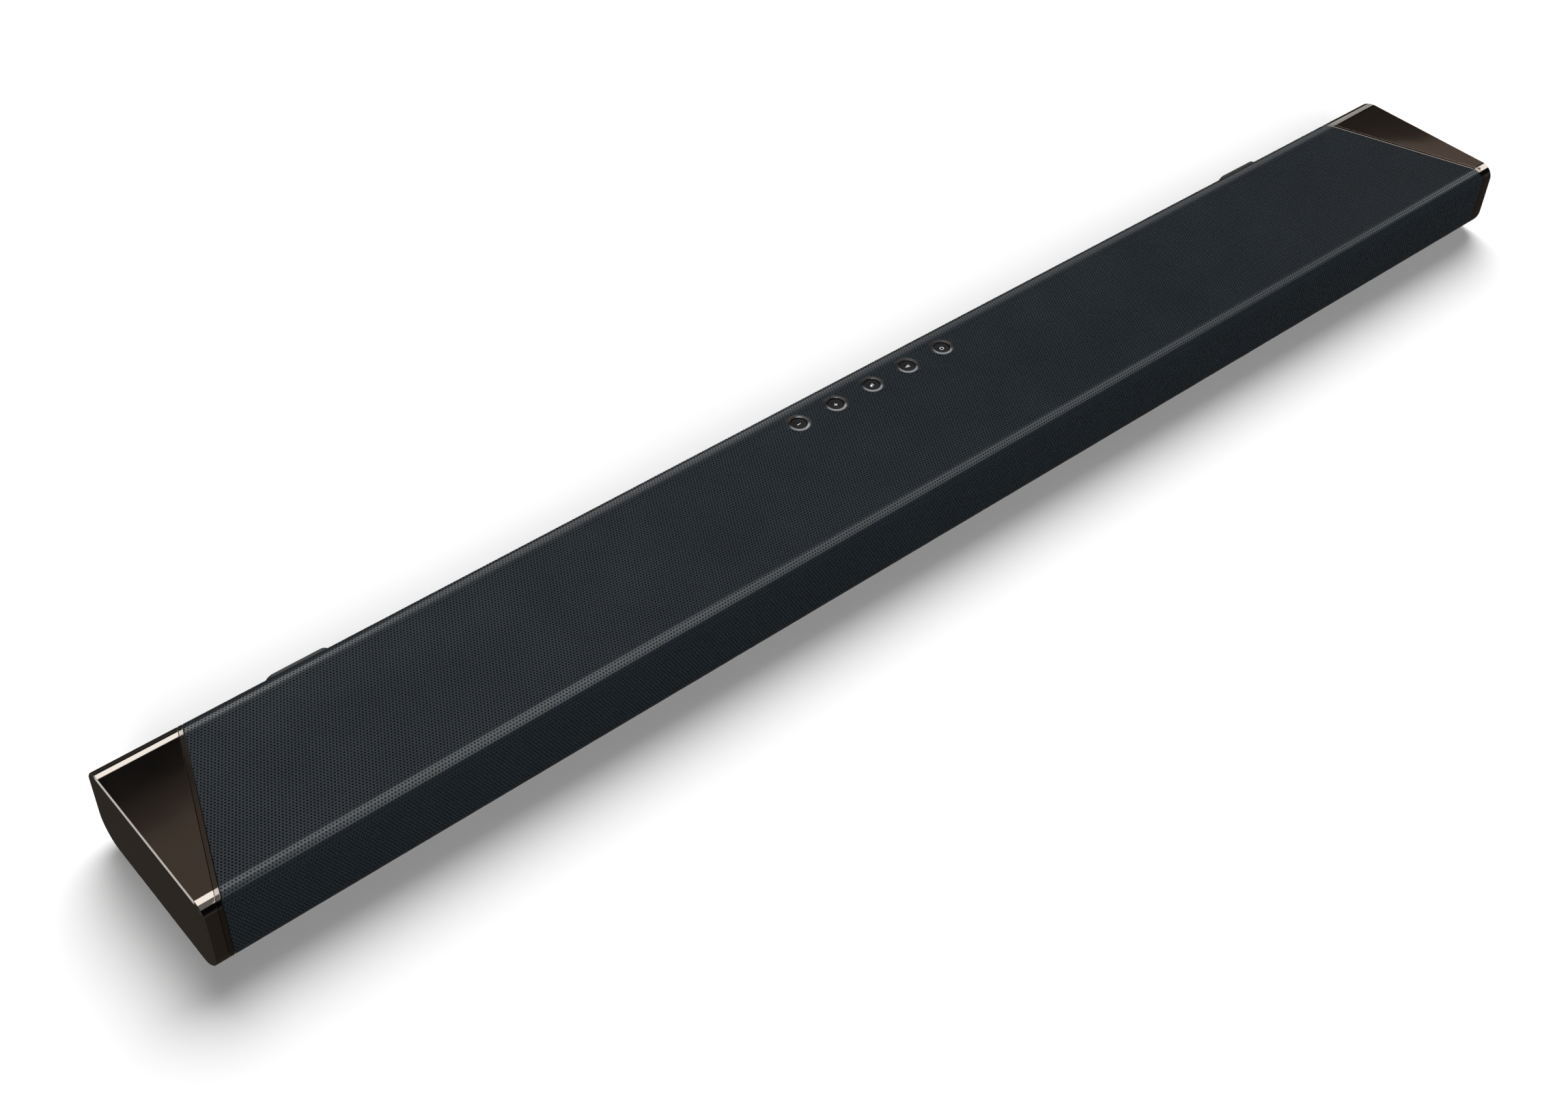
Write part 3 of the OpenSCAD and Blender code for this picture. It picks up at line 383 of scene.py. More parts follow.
# Colour, roughness, and the settings that differ from the usual ones
FINISHES = {
    "housing_plastic": ((0.012, 0.0125, 0.014), 0.5, dict(spread=0.2, grain=2600.0, bump=0.35)),
    "cabinet_plastic": ((0.011, 0.011, 0.012), 0.55, dict(spread=0.2, bump=0.2)),
    "grille_steel": (
        (0.0106, 0.0154, 0.0198), 0.225,
        dict(spread=0.08, grain=3000.0, bump=0.015, vary=0.015, patch=25.0),
    ),
    "bronze_gloss": (
        (0.34, 0.305, 0.275), 0.07, dict(POLISHED, spread=0.05, vary=0.012, coat_roughness=0.02),
    ),
    "bezel_gloss": (
        (0.24, 0.21, 0.185), 0.12, dict(POLISHED, spread=0.06, vary=0.02, coat_roughness=0.03),
    ),
    "bright_cut": (
        (0.62, 0.58, 0.53), 0.22,
        dict(metallic=1.0, spread=0.06, grain=500.0, bump=0.03, stretch=(1.0, 12.0, 1.0)),
    ),
    "button_gloss": (
        (0.003, 0.003, 0.0035), 0.46, dict(spread=0.2, grain=900.0, bump=0.0, vary=0.03, ior=1.28),
    ),
    "ring_metal": (
        (0.42, 0.43, 0.44), 0.17, dict(metallic=1.0, spread=0.06, grain=900.0, bump=0.0, vary=0.02),
    ),
    "switch_steel": ((0.42, 0.43, 0.44), 0.32, dict(metallic=1.0, stretch=BRUSHED, grain=300.0)),
    "basket_steel": ((0.05, 0.053, 0.058), 0.42, dict(metallic=0.4, spread=0.15)),
    "magnet_ferrite": ((0.06, 0.062, 0.066), 0.55, dict(metallic=0.2, spread=0.35, grain=1500.0, bump=0.3)),
    "surround_rubber": ((0.012, 0.012, 0.012), 0.62, dict(spread=0.25, grain=1800.0, bump=0.15)),
    "cone_paper": (
        (0.02, 0.021, 0.023), 0.75, dict(spread=0.35, grain=900.0, bump=0.5, stretch=(1.0, 1.0, 3.0)),
    ),
    "tweeter_plastic": ((0.02, 0.021, 0.024), 0.45, dict(spread=0.2, bump=0.2)),
    "screw_steel": ((0.36, 0.37, 0.38), 0.3, dict(metallic=1.0, spread=0.15, grain=1200.0, bump=0.1)),
    "chip_epoxy": ((0.012, 0.012, 0.013), 0.5, dict(spread=0.3, grain=3500.0, bump=0.3)),
    "sink_aluminium": ((0.55, 0.56, 0.57), 0.34, dict(metallic=1.0, stretch=BRUSHED, grain=260.0)),
    "shield_tin": ((0.55, 0.55, 0.54), 0.28, dict(metallic=1.0, stretch=BRUSHED, grain=200.0)),
    "socket_plastic": ((0.012, 0.013, 0.014), 0.42, dict(spread=0.2, bump=0.15)),
    "winding_tape": (
        (0.55, 0.33, 0.02), 0.35, dict(spread=0.15, stretch=(1.0, 1.0, 14.0), grain=90.0, bump=0.2),
    ),
    "capacitor_sleeve": ((0.012, 0.02, 0.04), 0.3, dict(spread=0.2, stretch=(1.0, 1.0, 0.1))),
    "light_lens": ((0.6, 0.63, 0.65), 0.3, dict(spread=0.05, bump=0.03)),
    "sensor_lens": ((0.02, 0.006, 0.008), 0.15, dict(coat=0.5, spread=0.1, bump=0.02)),
    "lead_insulation": ((0.11, 0.012, 0.012), 0.42, dict(spread=0.15, bump=0.1)),
    "bracket_plastic": ((0.009, 0.0095, 0.011), 0.45, dict(spread=0.2, grain=2400.0, bump=0.4)),
    "foot_rubber": ((0.008, 0.008, 0.008), 0.75, dict(spread=0.3, grain=1600.0, bump=0.3)),
}
# Colour, thread pitch in metres, roughness, and the settings that differ
# dark is the share of painted shade in the low parts between threads
WEAVES = {
    "acoustic_cloth": ((0.008, 0.009, 0.010), 0.0004, 0.9, {}),
    "spider_cloth": ((0.52, 0.31, 0.07), 0.0006, 0.85, {}),
    "dome_silk": ((0.05, 0.04, 0.03), 0.00035, 0.6, dict(bump=0.25, dark=0.5)),
}
MATERIALS = {name: finish(name, *values, **settings) for name, (*values, settings) in FINISHES.items()}
MATERIALS.update({name: woven(name, *values, **settings) for name, (*values, settings) in WEAVES.items()})
MATERIALS["circuit_board"] = board_finish("circuit_board")

for part in frame["record"]["subparts"]:
    node = frame["nodes"][part["node"]]
    node.data.materials.clear()
    node.data.materials.append(MATERIALS[part["material_slot"]])

# ---- Perforated grille ----

PITCH = 2.0
ROW_STEP = PITCH * math.sqrt(3) / 2
HOLE_RADIUS = 0.58
BORDER = 0.9
SHEET_THICK = 0.8
SECTIONS = 4
# The sheet runs from a little way up the front's lower curve, over the top, and down the rear wall
LIP_ANGLE = 20
LIP_START = FRONT_LOW * math.radians(90 - LIP_ANGLE)
REAR_EDGE_HEIGHT = 37.5
REAR_EDGE = REAR_START + (HEIGHT - REAR_TOP_DROP - REAR_EDGE_HEIGHT)
# The sheet's openings round the buttons, and how far whole holes stay from them
OPENING_RADIUS = RING_RADIUS + 0.1
OPENING_CLEAR = 0.35
OPENING_STEPS = 72
# The liner's two faces under the sheet, and how far it stays or runs past other edges
LINER_INSETS = (0.25, 0.5)
LINER_SHORT = 0.4
LINER_LAP = 1.0
LINER_CLEAR = 0.06
button_middles = [centre_of(n) for n in BUTTON_NODES]


def on_flat(middle):
    """Flat sheet point (x, distance round the outline) of a place on the top."""
    return np.array([middle[0], TOP_START + middle[1] + HALF_DEPTH - FRONT_TOP])


def on_sheet(flat, inset=0.0):
    """Points and normals in space of flat sheet points (x, distance round the outline)."""
    section, normals = outline(flat[:, 1])
    section = section - normals * inset
    return np.column_stack([flat[:, 0], section]), np.column_stack([np.zeros(len(flat)), normals])


def hole_lattice():
    """Rows of hole centres: for each row its distance, its first hole's X and its number of holes."""
    count = int((REAR_EDGE - LIP_START - 2 * BORDER - 2 * HOLE_RADIUS) / ROW_STEP) + 1
    first = (LIP_START + REAR_EDGE - (count - 1) * ROW_STEP) / 2
    half = math.ceil((GRILLE_END + LEAN * HALF_DEPTH) / PITCH)
    return [(first + j * ROW_STEP, (0.5 * (j % 2) - half) * PITCH, 2 * half) for j in range(count)]


def perforated_sheet():
    """Flat points, quads and triangles of the sheet between its six-sided holes."""
    rows = hole_lattice()
    starts = np.concatenate([[0], np.cumsum([r[2] for r in rows])]).astype(int)
    centres = np.concatenate([
        np.column_stack([x + PITCH * np.arange(n), np.full(n, s)]) for s, x, n in rows
    ])
    turns = np.radians(30 + 60 * np.arange(6))
    corners = HOLE_RADIUS * np.stack([np.cos(turns), np.sin(turns)], 1)
    flat = (centres[:, None] + corners[None]).reshape(-1, 2)

    kept = np.ones(len(centres), bool)
    for middle in button_middles:
        away = np.linalg.norm(centres - on_flat(middle), axis=1)
        kept &= away > OPENING_RADIUS + HOLE_RADIUS + OPENING_CLEAR

    faces = []
    for j, (s, x, n) in enumerate(rows):
        here = starts[j] + np.arange(n)
        a, b = here[:-1], here[1:]
        faces.append(np.stack([a * 6 + 5, b * 6 + 3, b * 6 + 2, a * 6], 1))
        if j + 1 == len(rows):
            continue
        shift = int(round((x + PITCH / 2 - rows[j + 1][1]) / PITCH))
        right = np.arange(n) + shift
        ok_right = (right >= 0) & (right < rows[j + 1][2])
        ok_left = (right >= 1) & (right <= rows[j + 1][2])
        up_right, up_left = starts[j + 1] + right, starts[j + 1] + right - 1
        a, b = here[ok_right], up_right[ok_right]
        faces.append(np.stack([a * 6, b * 6 + 4, b * 6 + 3, a * 6 + 1], 1))
        a, b = here[ok_left], up_left[ok_left]
        faces.append(np.stack([a * 6 + 1, b * 6 + 5, b * 6 + 4, a * 6 + 2], 1))
        both = ok_right & ok_left
        faces.append(np.stack([here[both] * 6 + 1, up_right[both] * 6 + 3, up_left[both] * 6 + 5,
                               np.full(both.sum(), -1)], 1))
        pair = ok_right[:-1]
        a, c, b = here[:-1][pair], here[1:][pair], up_right[:-1][pair]
        faces.append(np.stack([a * 6, c * 6 + 2, b * 6 + 4, np.full(pair.sum(), -1)], 1))
    faces = np.concatenate(faces)
    whole = np.where(faces >= 0, kept[np.maximum(faces, 0) // 6], True).all(1)
    dropped, faces = faces[~whole], faces[whole]
    points, patches = fill_round_buttons(flat, dropped, kept)
    points, borders = add_borders(points, rows, starts)
    return points, np.concatenate([faces, patches, borders])


def padded_faces(faces):
    """Faces of three or four corners as rows of four, with -1 for no corner."""
    return np.array([tuple(f) + (-1,) * (4 - len(f)) for f in faces], int).reshape(-1, 4)


def fill_round_buttons(flat, dropped, kept):
    """Closes the sheet between the nearest whole holes and each button's round opening."""
    points, patches = flat.tolist(), []
    around = {}
    for face in dropped:
        corners = [c for c in face if c >= 0]
        for a, b in zip(corners, corners[1:] + corners[:1]):
            if kept[a // 6] and kept[b // 6]:
                around.setdefault(a, set()).add(b)
                around.setdefault(b, set()).add(a)
    while around:
        start = next(iter(around))
        loop, last, here = [start], None, start
        while True:
            onward = sorted(n for n in around[here] if n != last)
            last, here = here, onward[0]
            if here == start:
                break
            loop.append(here)
        for c in loop:
            del around[c]
        ring = np.array([flat[c] for c in loop])
        middle = (ring.min(0) + ring.max(0)) / 2
        centre = on_flat(min(button_middles, key=lambda m: abs(m[0] - middle[0])))
        steps = OPENING_STEPS
        circle = [centre + OPENING_RADIUS * np.array([math.cos(a), math.sin(a)])
                  for a in np.linspace(0, 2 * math.pi, steps, endpoint=False)]
        every = [Vector(p) for p in ring] + [Vector(p) for p in circle]
        n = len(ring)
        edges = [(i, (i + 1) % n) for i in range(n)] + [(n + i, n + (i + 1) % steps) for i in range(steps)]
        made, _, triangles, origins, _, _ = delaunay_2d_cdt(every, edges, [], 0, 1e-6)
        names = list(loop) + list(range(len(points), len(points) + steps))
        points += [list(c) for c in circle]
        for triangle in triangles:
            mid = sum((np.array(made[i]) for i in triangle), np.zeros(2)) / 3
            if np.hypot(*(mid - centre)) > OPENING_RADIUS * math.cos(math.pi / steps) and inside(mid, ring):
                corners = [names[origins[i][0]] for i in triangle]
                patches.append(corners if turns_left([points[c] for c in corners]) else corners[::-1])
    return points, padded_faces(patches)


def inside(point, ring):
    """True if a 2-D point is inside a closed ring of points."""
    x, y = point
    a, b = ring, np.roll(ring, -1, 0)
    crosses = (a[:, 1] > y) != (b[:, 1] > y)
    at = a[:, 0] + (y - a[:, 1]) * (b[:, 0] - a[:, 0]) / np.where(crosses, b[:, 1] - a[:, 1], 1.0)
    return bool((crosses & (at > x)).sum() % 2)


def turns_left(corners):
    """True if a flat face's corners run anticlockwise."""
    (ax, ay), (bx, by), (cx, cy) = corners[:3]
    return (bx - ax) * (cy - ay) - (by - ay) * (cx - ax) > 0


def add_borders(points, rows, starts):
    """Closes the sheet between its first and last rows and its long edges."""
    bottom = [c * 6 + k for c in range(starts[0], starts[1]) for k in (3, 4, 5)]
    top = [c * 6 + k for c in range(starts[-2], starts[-1]) for k in (2, 1, 0)]
    made = []
    for chain, s in ((bottom, LIP_START), (top, REAR_EDGE)):
        outer = range(len(points), len(points) + len(chain))
        points += [[points[c][0], s] for c in chain]
        for a, b, c, d in zip(chain, chain[1:], outer[1:], outer):
            made.append((a, b, c, d) if s > points[a][1] else (d, c, b, a))
    made = [f if turns_left([points[c] for c in f]) else f[::-1] for f in made]
    return np.array(points), padded_faces(made)


def cut_at_joint(mesh, side):
    """Cuts a mesh off at the grille's end, square to the bar's leaning joint plane."""
    bm = bmesh.new()
    bm.from_mesh(mesh)
    at = Vector(place([(side * GRILLE_END, 0.0, 0.0)])[0])
    bmesh.ops.bisect_plane(
        bm, geom=bm.verts[:] + bm.edges[:] + bm.faces[:], dist=1e-7, plane_co=at,
        plane_no=Vector((side, LEAN, 0.0)).normalized(), clear_outer=True,
    )
    bm.to_mesh(mesh)
    bm.free()


def sheet_section(name, points, faces, ends, replaces=()):
    """One length of the perforated sheet as a piece, with the curve's own normals."""
    used, numbers = np.unique(faces[faces >= 0], return_inverse=True)
    local = np.full(faces.shape, -1)
    local[faces >= 0] = numbers
    sizes = (local >= 0).sum(1)
    mesh = bpy.data.meshes.new(name)
    mesh.vertices.add(len(used))
    mesh.vertices.foreach_set("co", place(on_sheet(points[used])[0]).astype(np.float32).ravel())
    mesh.loops.add(int(sizes.sum()))
    mesh.loops.foreach_set("vertex_index", local[local >= 0].astype(np.int32))
    mesh.polygons.add(len(local))
    mesh.polygons.foreach_set("loop_start", np.concatenate([[0], np.cumsum(sizes)[:-1]]).astype(np.int32))
    mesh.update(calc_edges=True)
    distance = mesh.attributes.new("distance", "FLOAT", "POINT")
    distance.data.foreach_set("value", points[used, 1].astype(np.float32))
    for side in ends:
        cut_at_joint(mesh, side)
    found = np.zeros(len(mesh.vertices), np.float32)
    mesh.attributes["distance"].data.foreach_get("value", found)
    mesh.attributes.remove(mesh.attributes["distance"])
    normals = on_sheet(np.column_stack([found, found]))[1]
    mesh.shade_smooth()
    mesh.normals_split_custom_set_from_vertices(normals.astype(np.float32))
    add_object(name, mesh, "grille_steel", replaces)


def make_grille():
    """The perforated sheet in four lengths, and its cut edge all round."""
    points, faces = perforated_sheet()
    middles = np.where(faces >= 0, points[np.maximum(faces, 0), 0], np.nan)
    at = np.nanmean(middles, 1)
    cuts = np.linspace(-HALF_LENGTH, HALF_LENGTH, SECTIONS + 1)
    for i in range(SECTIONS):
        here = faces[(at >= cuts[i]) & (at < cuts[i + 1])]
        ends = [side for side, section in ((-1, 0), (1, SECTIONS - 1)) if section == i]
        sheet_section(f"grille_sheet_{i + 1}", points, here, ends, ("grille",) if i == 0 else ())

    stops = [LIP_START] + [s for s in outline_stops(24, 12) if LIP_START < s < REAR_EDGE] + [REAR_EDGE]
    across = [GRILLE_END - LEAN * y for y in outline(stops)[0][:, 0]]
    right, left = list(zip(across, stops)), [(-x, s) for x, s in zip(across, stops)]
    loop = np.array(right + left[::-1])
    n = len(loop)
    space = np.concatenate([on_sheet(loop, inset)[0] for inset in (0.0, SHEET_THICK)])
    walls = [(i, n + i, n + (i + 1) % n, (i + 1) % n) for i in range(n)]
    mesh = make_mesh("grille_edge", space, walls, closed=False)
    add_object("grille_edge", mesh, "grille_steel")


def make_liner(name, start, end):
    """A thin dark strip of cloth close under the sheet, which shuts its holes where the sheet curves."""
    stops = [s for s in outline_stops(24, 6) if start < s < end]
    section, normals = outline([start] + stops + [end])
    n = len(section)
    points = []
    for inset in LINER_INSETS:
        ring = section - normals * inset
        for side in (-1, 1):
            points.append(np.column_stack([side * (BEZEL_IN - LINER_CLEAR - LEAN * ring[:, 0]), ring]))
    faces = []
    for i in range(n - 1):
        for a, b in ((0, 1), (1, 3), (3, 2), (2, 0)):
            faces.append((a * n + i, a * n + i + 1, b * n + i + 1, b * n + i))
    for i in (0, n - 1):
        faces.append((i, n + i, 3 * n + i, 2 * n + i))
    mesh = make_mesh(name, np.concatenate(points), faces)
    add_object(name, mesh, "acoustic_cloth")


make_grille()
make_liner("front_liner", LIP_START + LINER_SHORT, TOP_START + LINER_LAP)
make_liner("rear_liner", TOP_END - LINER_LAP, REAR_EDGE - LINER_SHORT)

# ---- End caps and bezels ----

CAP_WALL = 2.4
BRIGHT_WIDTH = 0.85
# The row of a cap's faces between the bright cut's two soft edges
BRIGHT_ROW = 7
BEZEL_WALL = 6.0


def end_loft(rings, side):
    """Points and faces of rings round the outline. A ring is (x at mid depth, lean, inset)."""
    stops = outline_stops()
    section, normals = outline(stops)
    points = []
    for x, lean, inset in rings:
        ring = section - normals * inset
        points.append(np.column_stack([side * (x - lean * LEAN * ring[:, 0]), ring]))
    n = len(stops)
    faces = []
    for r in range(len(rings) - 1):
        for i in range(n):
            j = (i + 1) % n
            faces.append((r * n + i, r * n + j, (r + 1) * n + j, (r + 1) * n + i))
    return np.concatenate(points), faces, n


def make_cap(name, side):
    """A hollow gloss cap: softened joint edge, bright-cut bevel, flat side face."""
    cut = HALF_LENGTH - BRIGHT_WIDTH
    middle = (CAP_IN + cut) / 2
    rings = [
        (HALF_LENGTH - CAP_WALL, 0.0, CAP_WALL),
        (CAP_IN, 1.0, CAP_WALL),
        (CAP_IN, 1.0, 0.3),
        (CAP_IN + 0.09, 1.0, 0.09),
        (CAP_IN + 0.3, 1.0, 0.0),
        (middle, 0.5, 0.0),
        (cut, 0.0, 0.0),
        (cut + 0.06, 0.0, 0.02),
        (HALF_LENGTH - 0.06, 0.0, BRIGHT_WIDTH - 0.1),
        (HALF_LENGTH, 0.0, BRIGHT_WIDTH),
    ]
    points, faces, n = end_loft(rings, side)
    bright = [int(f // n == BRIGHT_ROW) for f in range(len(faces))] + [0, 0]
    faces.append(tuple(range(n)))
    faces.append(tuple(range(len(points) - n, len(points))))
    mesh = make_mesh(name, points, faces, 28.0, bright)
    node = name.replace("_shell", "")
    flatten_shading(add_object(name, mesh, "bronze_gloss", (node,), more_materials=("bright_cut",)))


def make_bezel(name, side):
    """A gloss frame with a rounded edge beside the grille."""
    round_edge, fine = 0.4, 0.2
    rings = [(BEZEL_OUT, 1.0, BEZEL_WALL), (BEZEL_IN, 1.0, BEZEL_WALL), (BEZEL_IN, 1.0, 2.5)]
    for i in range(8):
        a = math.pi / 2 * i / 7
        rings.append((BEZEL_IN + round_edge * (1 - math.cos(a)), 1.0, round_edge * (1 - math.sin(a))))
    for i in range(4):
        a = math.pi / 2 * i / 3
        rings.append((BEZEL_OUT - fine * (1 - math.sin(a)), 1.0, fine * (1 - math.cos(a))))
    points, faces, n = end_loft(rings, side)
    last = len(points) - n
    faces += [(last + i, last + (i + 1) % n, (i + 1) % n, i) for i in range(n)]
    mesh = make_mesh(name, points, faces, 30.0)
    flatten_shading(add_object(name, mesh, "bezel_gloss", (name.replace("_frame", ""),)))


for side, word in ((-1, "left"), (1, "right")):
    make_cap(f"{word}_end_cap_shell", side)
    make_bezel(f"{word}_bezel_frame", side)

# ---- Buttons, their symbols and rings ----

BUTTON_TOP = HEIGHT - 0.55
BUTTON_DEPTH = 1.6
STEM_RADIUS, COLLAR_RADIUS, COLLAR_HEIGHT = 2.0, 2.9, 0.5
DISH = 0.45
DISH_EDGE = BUTTON_RADIUS - 0.5
DISH_RADIUS = (DISH_EDGE ** 2 + DISH ** 2) / (2 * DISH)
PRINT_PROUD = 0.03
PRINT_THICK = 0.08
BUTTON_STEPS, RING_STEPS = 72, 96


def dish_height(radius):
    """Height of a button's dished top at a distance from its middle."""
    return BUTTON_TOP - DISH + DISH_RADIUS - math.sqrt(DISH_RADIUS ** 2 - min(radius, DISH_EDGE) ** 2)


def make_button(node):
    """A button with a dished top and a rounded rim, on a stem with a collar."""
    x, y, _ = centre_of(node)
    foot = (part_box(node)[0].z - MIDDLE[2]) / MM
    rim, under = BUTTON_RADIUS, BUTTON_TOP - BUTTON_DEPTH
    profile = [(0.0, dish_height(0.0))]
    profile += [(r, dish_height(r)) for r in np.linspace(0.4, DISH_EDGE, 12).tolist()]
    profile += [(rim - 0.32, BUTTON_TOP), (rim - 0.15, BUTTON_TOP - 0.03), (rim - 0.04, BUTTON_TOP - 0.13)]
    profile += [(rim, BUTTON_TOP - 0.28), (rim, under + 0.1), (rim - 0.1, under), (STEM_RADIUS, under)]
    profile += [(STEM_RADIUS, foot + COLLAR_HEIGHT), (COLLAR_RADIUS, foot + COLLAR_HEIGHT)]
    profile += [(COLLAR_RADIUS, foot), (0.0, foot)]
    mesh = make_mesh(node + "_cap", *lathe_rows(profile, BUTTON_STEPS, x, y), 40.0)
    add_object(node + "_cap", mesh, "button_gloss", (node,), node)


def stroke(path, width):
    """A flat stroke along a path, as pairs of points left and right of it."""
    along = np.gradient(path, axis=0)
    along /= np.linalg.norm(along, axis=1)[:, None]
    out = np.column_stack([-along[:, 1], along[:, 0]]) * width / 2
    return list(zip(path + out, path - out))


def arc_path(radius, start, end, steps=28):
    """Points along an arc round a button's middle."""
    turns = np.radians(np.linspace(start, end, steps + 1))
    return radius * np.column_stack([np.cos(turns), np.sin(turns)])


def line_path(start, end, steps=4):
    """Points along a straight line."""
    return np.linspace(start, end, steps + 1)


def make_print(node, strokes):
    """A pale printed symbol that lies on a button's dish."""
    x, y, _ = centre_of(node)
    parts = []
    for path, width in strokes:
        pairs = stroke(path, width)
        points = []
        for left, right in pairs:
            for flat, drop in ((left, 0.0), (right, 0.0), (right, PRINT_THICK), (left, PRINT_THICK)):
                z = dish_height(float(np.hypot(*flat))) + PRINT_PROUD - drop
                points.append((x + flat[0], y + flat[1], z))
        faces = []
        for i in range(len(pairs) - 1):
            for k in range(4):
                m = (k + 1) % 4
                faces.append((4 * i + k, 4 * i + m, 4 * i + 4 + m, 4 * i + 4 + k))
        last = 4 * (len(pairs) - 1)
        faces += [(0, 1, 2, 3), (last, last + 1, last + 2, last + 3)]
        parts.append((points, faces))
    name = node.replace("button", "symbol")
    mesh = make_mesh(name, *joined(parts), 30.0)
    add_object(name, mesh, "light_lens", body=node)


# Each symbol's strokes: a path round the button's middle, and a width
SYMBOLS = {
    "power_button": [(arc_path(1.25, 120, 420), 0.34), (line_path((0, 0.35), (0, 1.65)), 0.34)],
    "source_button": [
        (line_path((-1.5, 0), (0.6, 0)), 0.4), (line_path((0.0, 0.9), (0.95, -0.1)), 0.36),
        (line_path((0.0, -0.9), (0.95, 0.1)), 0.36), (line_path((1.45, 1.2), (1.45, -1.2)), 0.36),
    ],
    "mute_button": [
        (line_path((-1.3, 0), (-0.5, 0)), 0.9), (line_path((-0.75, 0), (0.2, 0)), 1.5),
        (line_path((-1.3, -1.3), (1.4, 1.4)), 0.32), (arc_path(1.1, -45, 45, 12), 0.3),
    ],
    "volume_up_button": [(line_path((-1.25, 0), (1.25, 0)), 0.45), (line_path((0, -1.25), (0, 1.25)), 0.45)],
    "volume_down_button": [(line_path((-1.25, 0), (1.25, 0)), 0.45)],
}
for node in BUTTON_NODES:
    make_button(node)
    make_print(node, SYMBOLS[node])

RING_PROUD = 0.13
RING_BORE = BUTTON_RADIUS + 0.3
RING_FOOT = HEIGHT - 3.0
SLOPE_DROP, SLOPE_POWER, SLOPE_ROWS = 0.24, 1.3, 8


def make_rings():
    """Trim rings with a hollow slope that falls to each button."""
    top, out, inner = HEIGHT + RING_PROUD, RING_RADIUS - 0.06, RING_BORE + 0.05
    profile = [(RING_BORE, RING_FOOT), (RING_RADIUS, RING_FOOT), (RING_RADIUS, top - 0.06)]
    for i in range(SLOPE_ROWS + 1):
        share = i / SLOPE_ROWS
        profile.append((out + (inner - out) * share, top - SLOPE_DROP * share ** SLOPE_POWER))
    profile.append((RING_BORE, profile[-1][1] - 0.12))
    rings = []
    for x, y, _ in button_middles:
        points, faces = lathe_rows(profile, RING_STEPS, x, y)
        last = len(points) - RING_STEPS
        for i in range(RING_STEPS):
            j = (i + 1) % RING_STEPS
            faces.append((last + i, i, j, last + j))
        rings.append((points, faces))
    mesh = make_mesh("button_trim_rings", *joined(rings), 34.0)
    add_object("button_trim_rings", mesh, "ring_metal", ("button_rings",))


make_rings()

# ---- Feet, brackets and screws ----

FOOT_RADIUS = 8.0
FOOT_STEPS = 56


def make_feet():
    """Six rubber pads with a rounded rim and a hollow middle."""
    low, high = ((np.array(corner) - MIDDLE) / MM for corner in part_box("rubber_feet"))
    foot = low[2]
    profile = [(0.0, foot + 0.25), (4.6, foot + 0.25), (4.9, foot + 0.05), (5.2, foot), (7.0, foot)]
    profile += [(7.5, foot + 0.12), (7.85, foot + 0.45), (FOOT_RADIUS, foot + 0.9)]
    profile += [(FOOT_RADIUS, foot + 3.2), (0.0, foot + 3.2)]
    pads = [lathe_rows(profile, FOOT_STEPS, x, y)
            for x in (low[0] + FOOT_RADIUS, 0.0, high[0] - FOOT_RADIUS)
            for y in (low[1] + FOOT_RADIUS, high[1] - FOOT_RADIUS)]
    mesh = make_mesh("rubber_foot_pads", *joined(pads), 40.0)
    add_object("rubber_foot_pads", mesh, "foot_rubber", ("rubber_feet",))


make_feet()

SAME_PLACE = 1e-6
BRACKET_BEVEL = 0.5 * MM


def put_in_order(bm):
    """Sorts points and faces by their place, since a bevel's own order changes from run to run."""
    for items, place_of in ((bm.verts, lambda v: v.co), (bm.faces, lambda f: f.calc_center_median())):
        keys = {item: [round(c / SAME_PLACE) for c in place_of(item)] for item in items}
        for i, item in enumerate(sorted(keys, key=keys.get)):
            item.index = i
        items.sort()


def make_bracket(word):
    """A copy of a CAD bracket's shape with its sharp edges bevelled, in its place."""
    node = f"{word}_wall_bracket"
    mesh = frame["nodes"][node].data.copy()
    bm = bmesh.new()
    bm.from_mesh(mesh)
    bmesh.ops.remove_doubles(bm, verts=bm.verts, dist=SAME_PLACE)
    bmesh.ops.dissolve_limit(bm, angle_limit=math.radians(1), verts=bm.verts, edges=bm.edges)
    edges = [e for e in bm.edges if e.is_manifold and e.calc_face_angle(0.0) > math.radians(40)]
    bmesh.ops.bevel(
        bm, geom=edges, offset=BRACKET_BEVEL, segments=2, profile=0.6, affect="EDGES", clamp_overlap=True
    )
    bmesh.ops.triangulate(bm, faces=bm.faces)
    put_in_order(bm)
    bm.to_mesh(mesh)
    bm.free()
    mesh.materials.clear()
    mesh.shade_smooth()
    mesh.set_sharp_from_angle(angle=math.radians(50))
    add_object(f"{word}_bracket_moulding", mesh, "bracket_plastic", (node,))


HEAD_HEIGHT = 1.2
SHAFT_RADIUS = 1.45
RECESS_DEPTH = 0.95
CROSS_ARM, CROSS_HALF_WIDTH = 1.55, 0.4
CROSS_TAPER = 0.5
SCREW_STEPS = 40
# Each screw's recess is turned by this much more than the last, in radians
TURN_STEP = 0.7


def islands(node):
    """Lowest and highest corners of each loose part of a CAD node, in the bar's frame."""
    bm = bmesh.new()
    bm.from_mesh(frame["nodes"][node].data)
    bmesh.ops.remove_doubles(bm, verts=bm.verts, dist=SAME_PLACE)
    left, boxes = set(bm.verts), []
    while left:
        reached = [left.pop()]
        for vert in reached:
            for other in (e.other_vert(vert) for e in vert.link_edges):
                if other in left:
                    left.remove(other)
                    reached.append(other)
        spread = (np.array([v.co[:] for v in reached]) - MIDDLE) / MM
        boxes.append((spread.min(0), spread.max(0)))
    bm.free()
    return sorted(boxes, key=lambda box: tuple(box[0].round(3)))


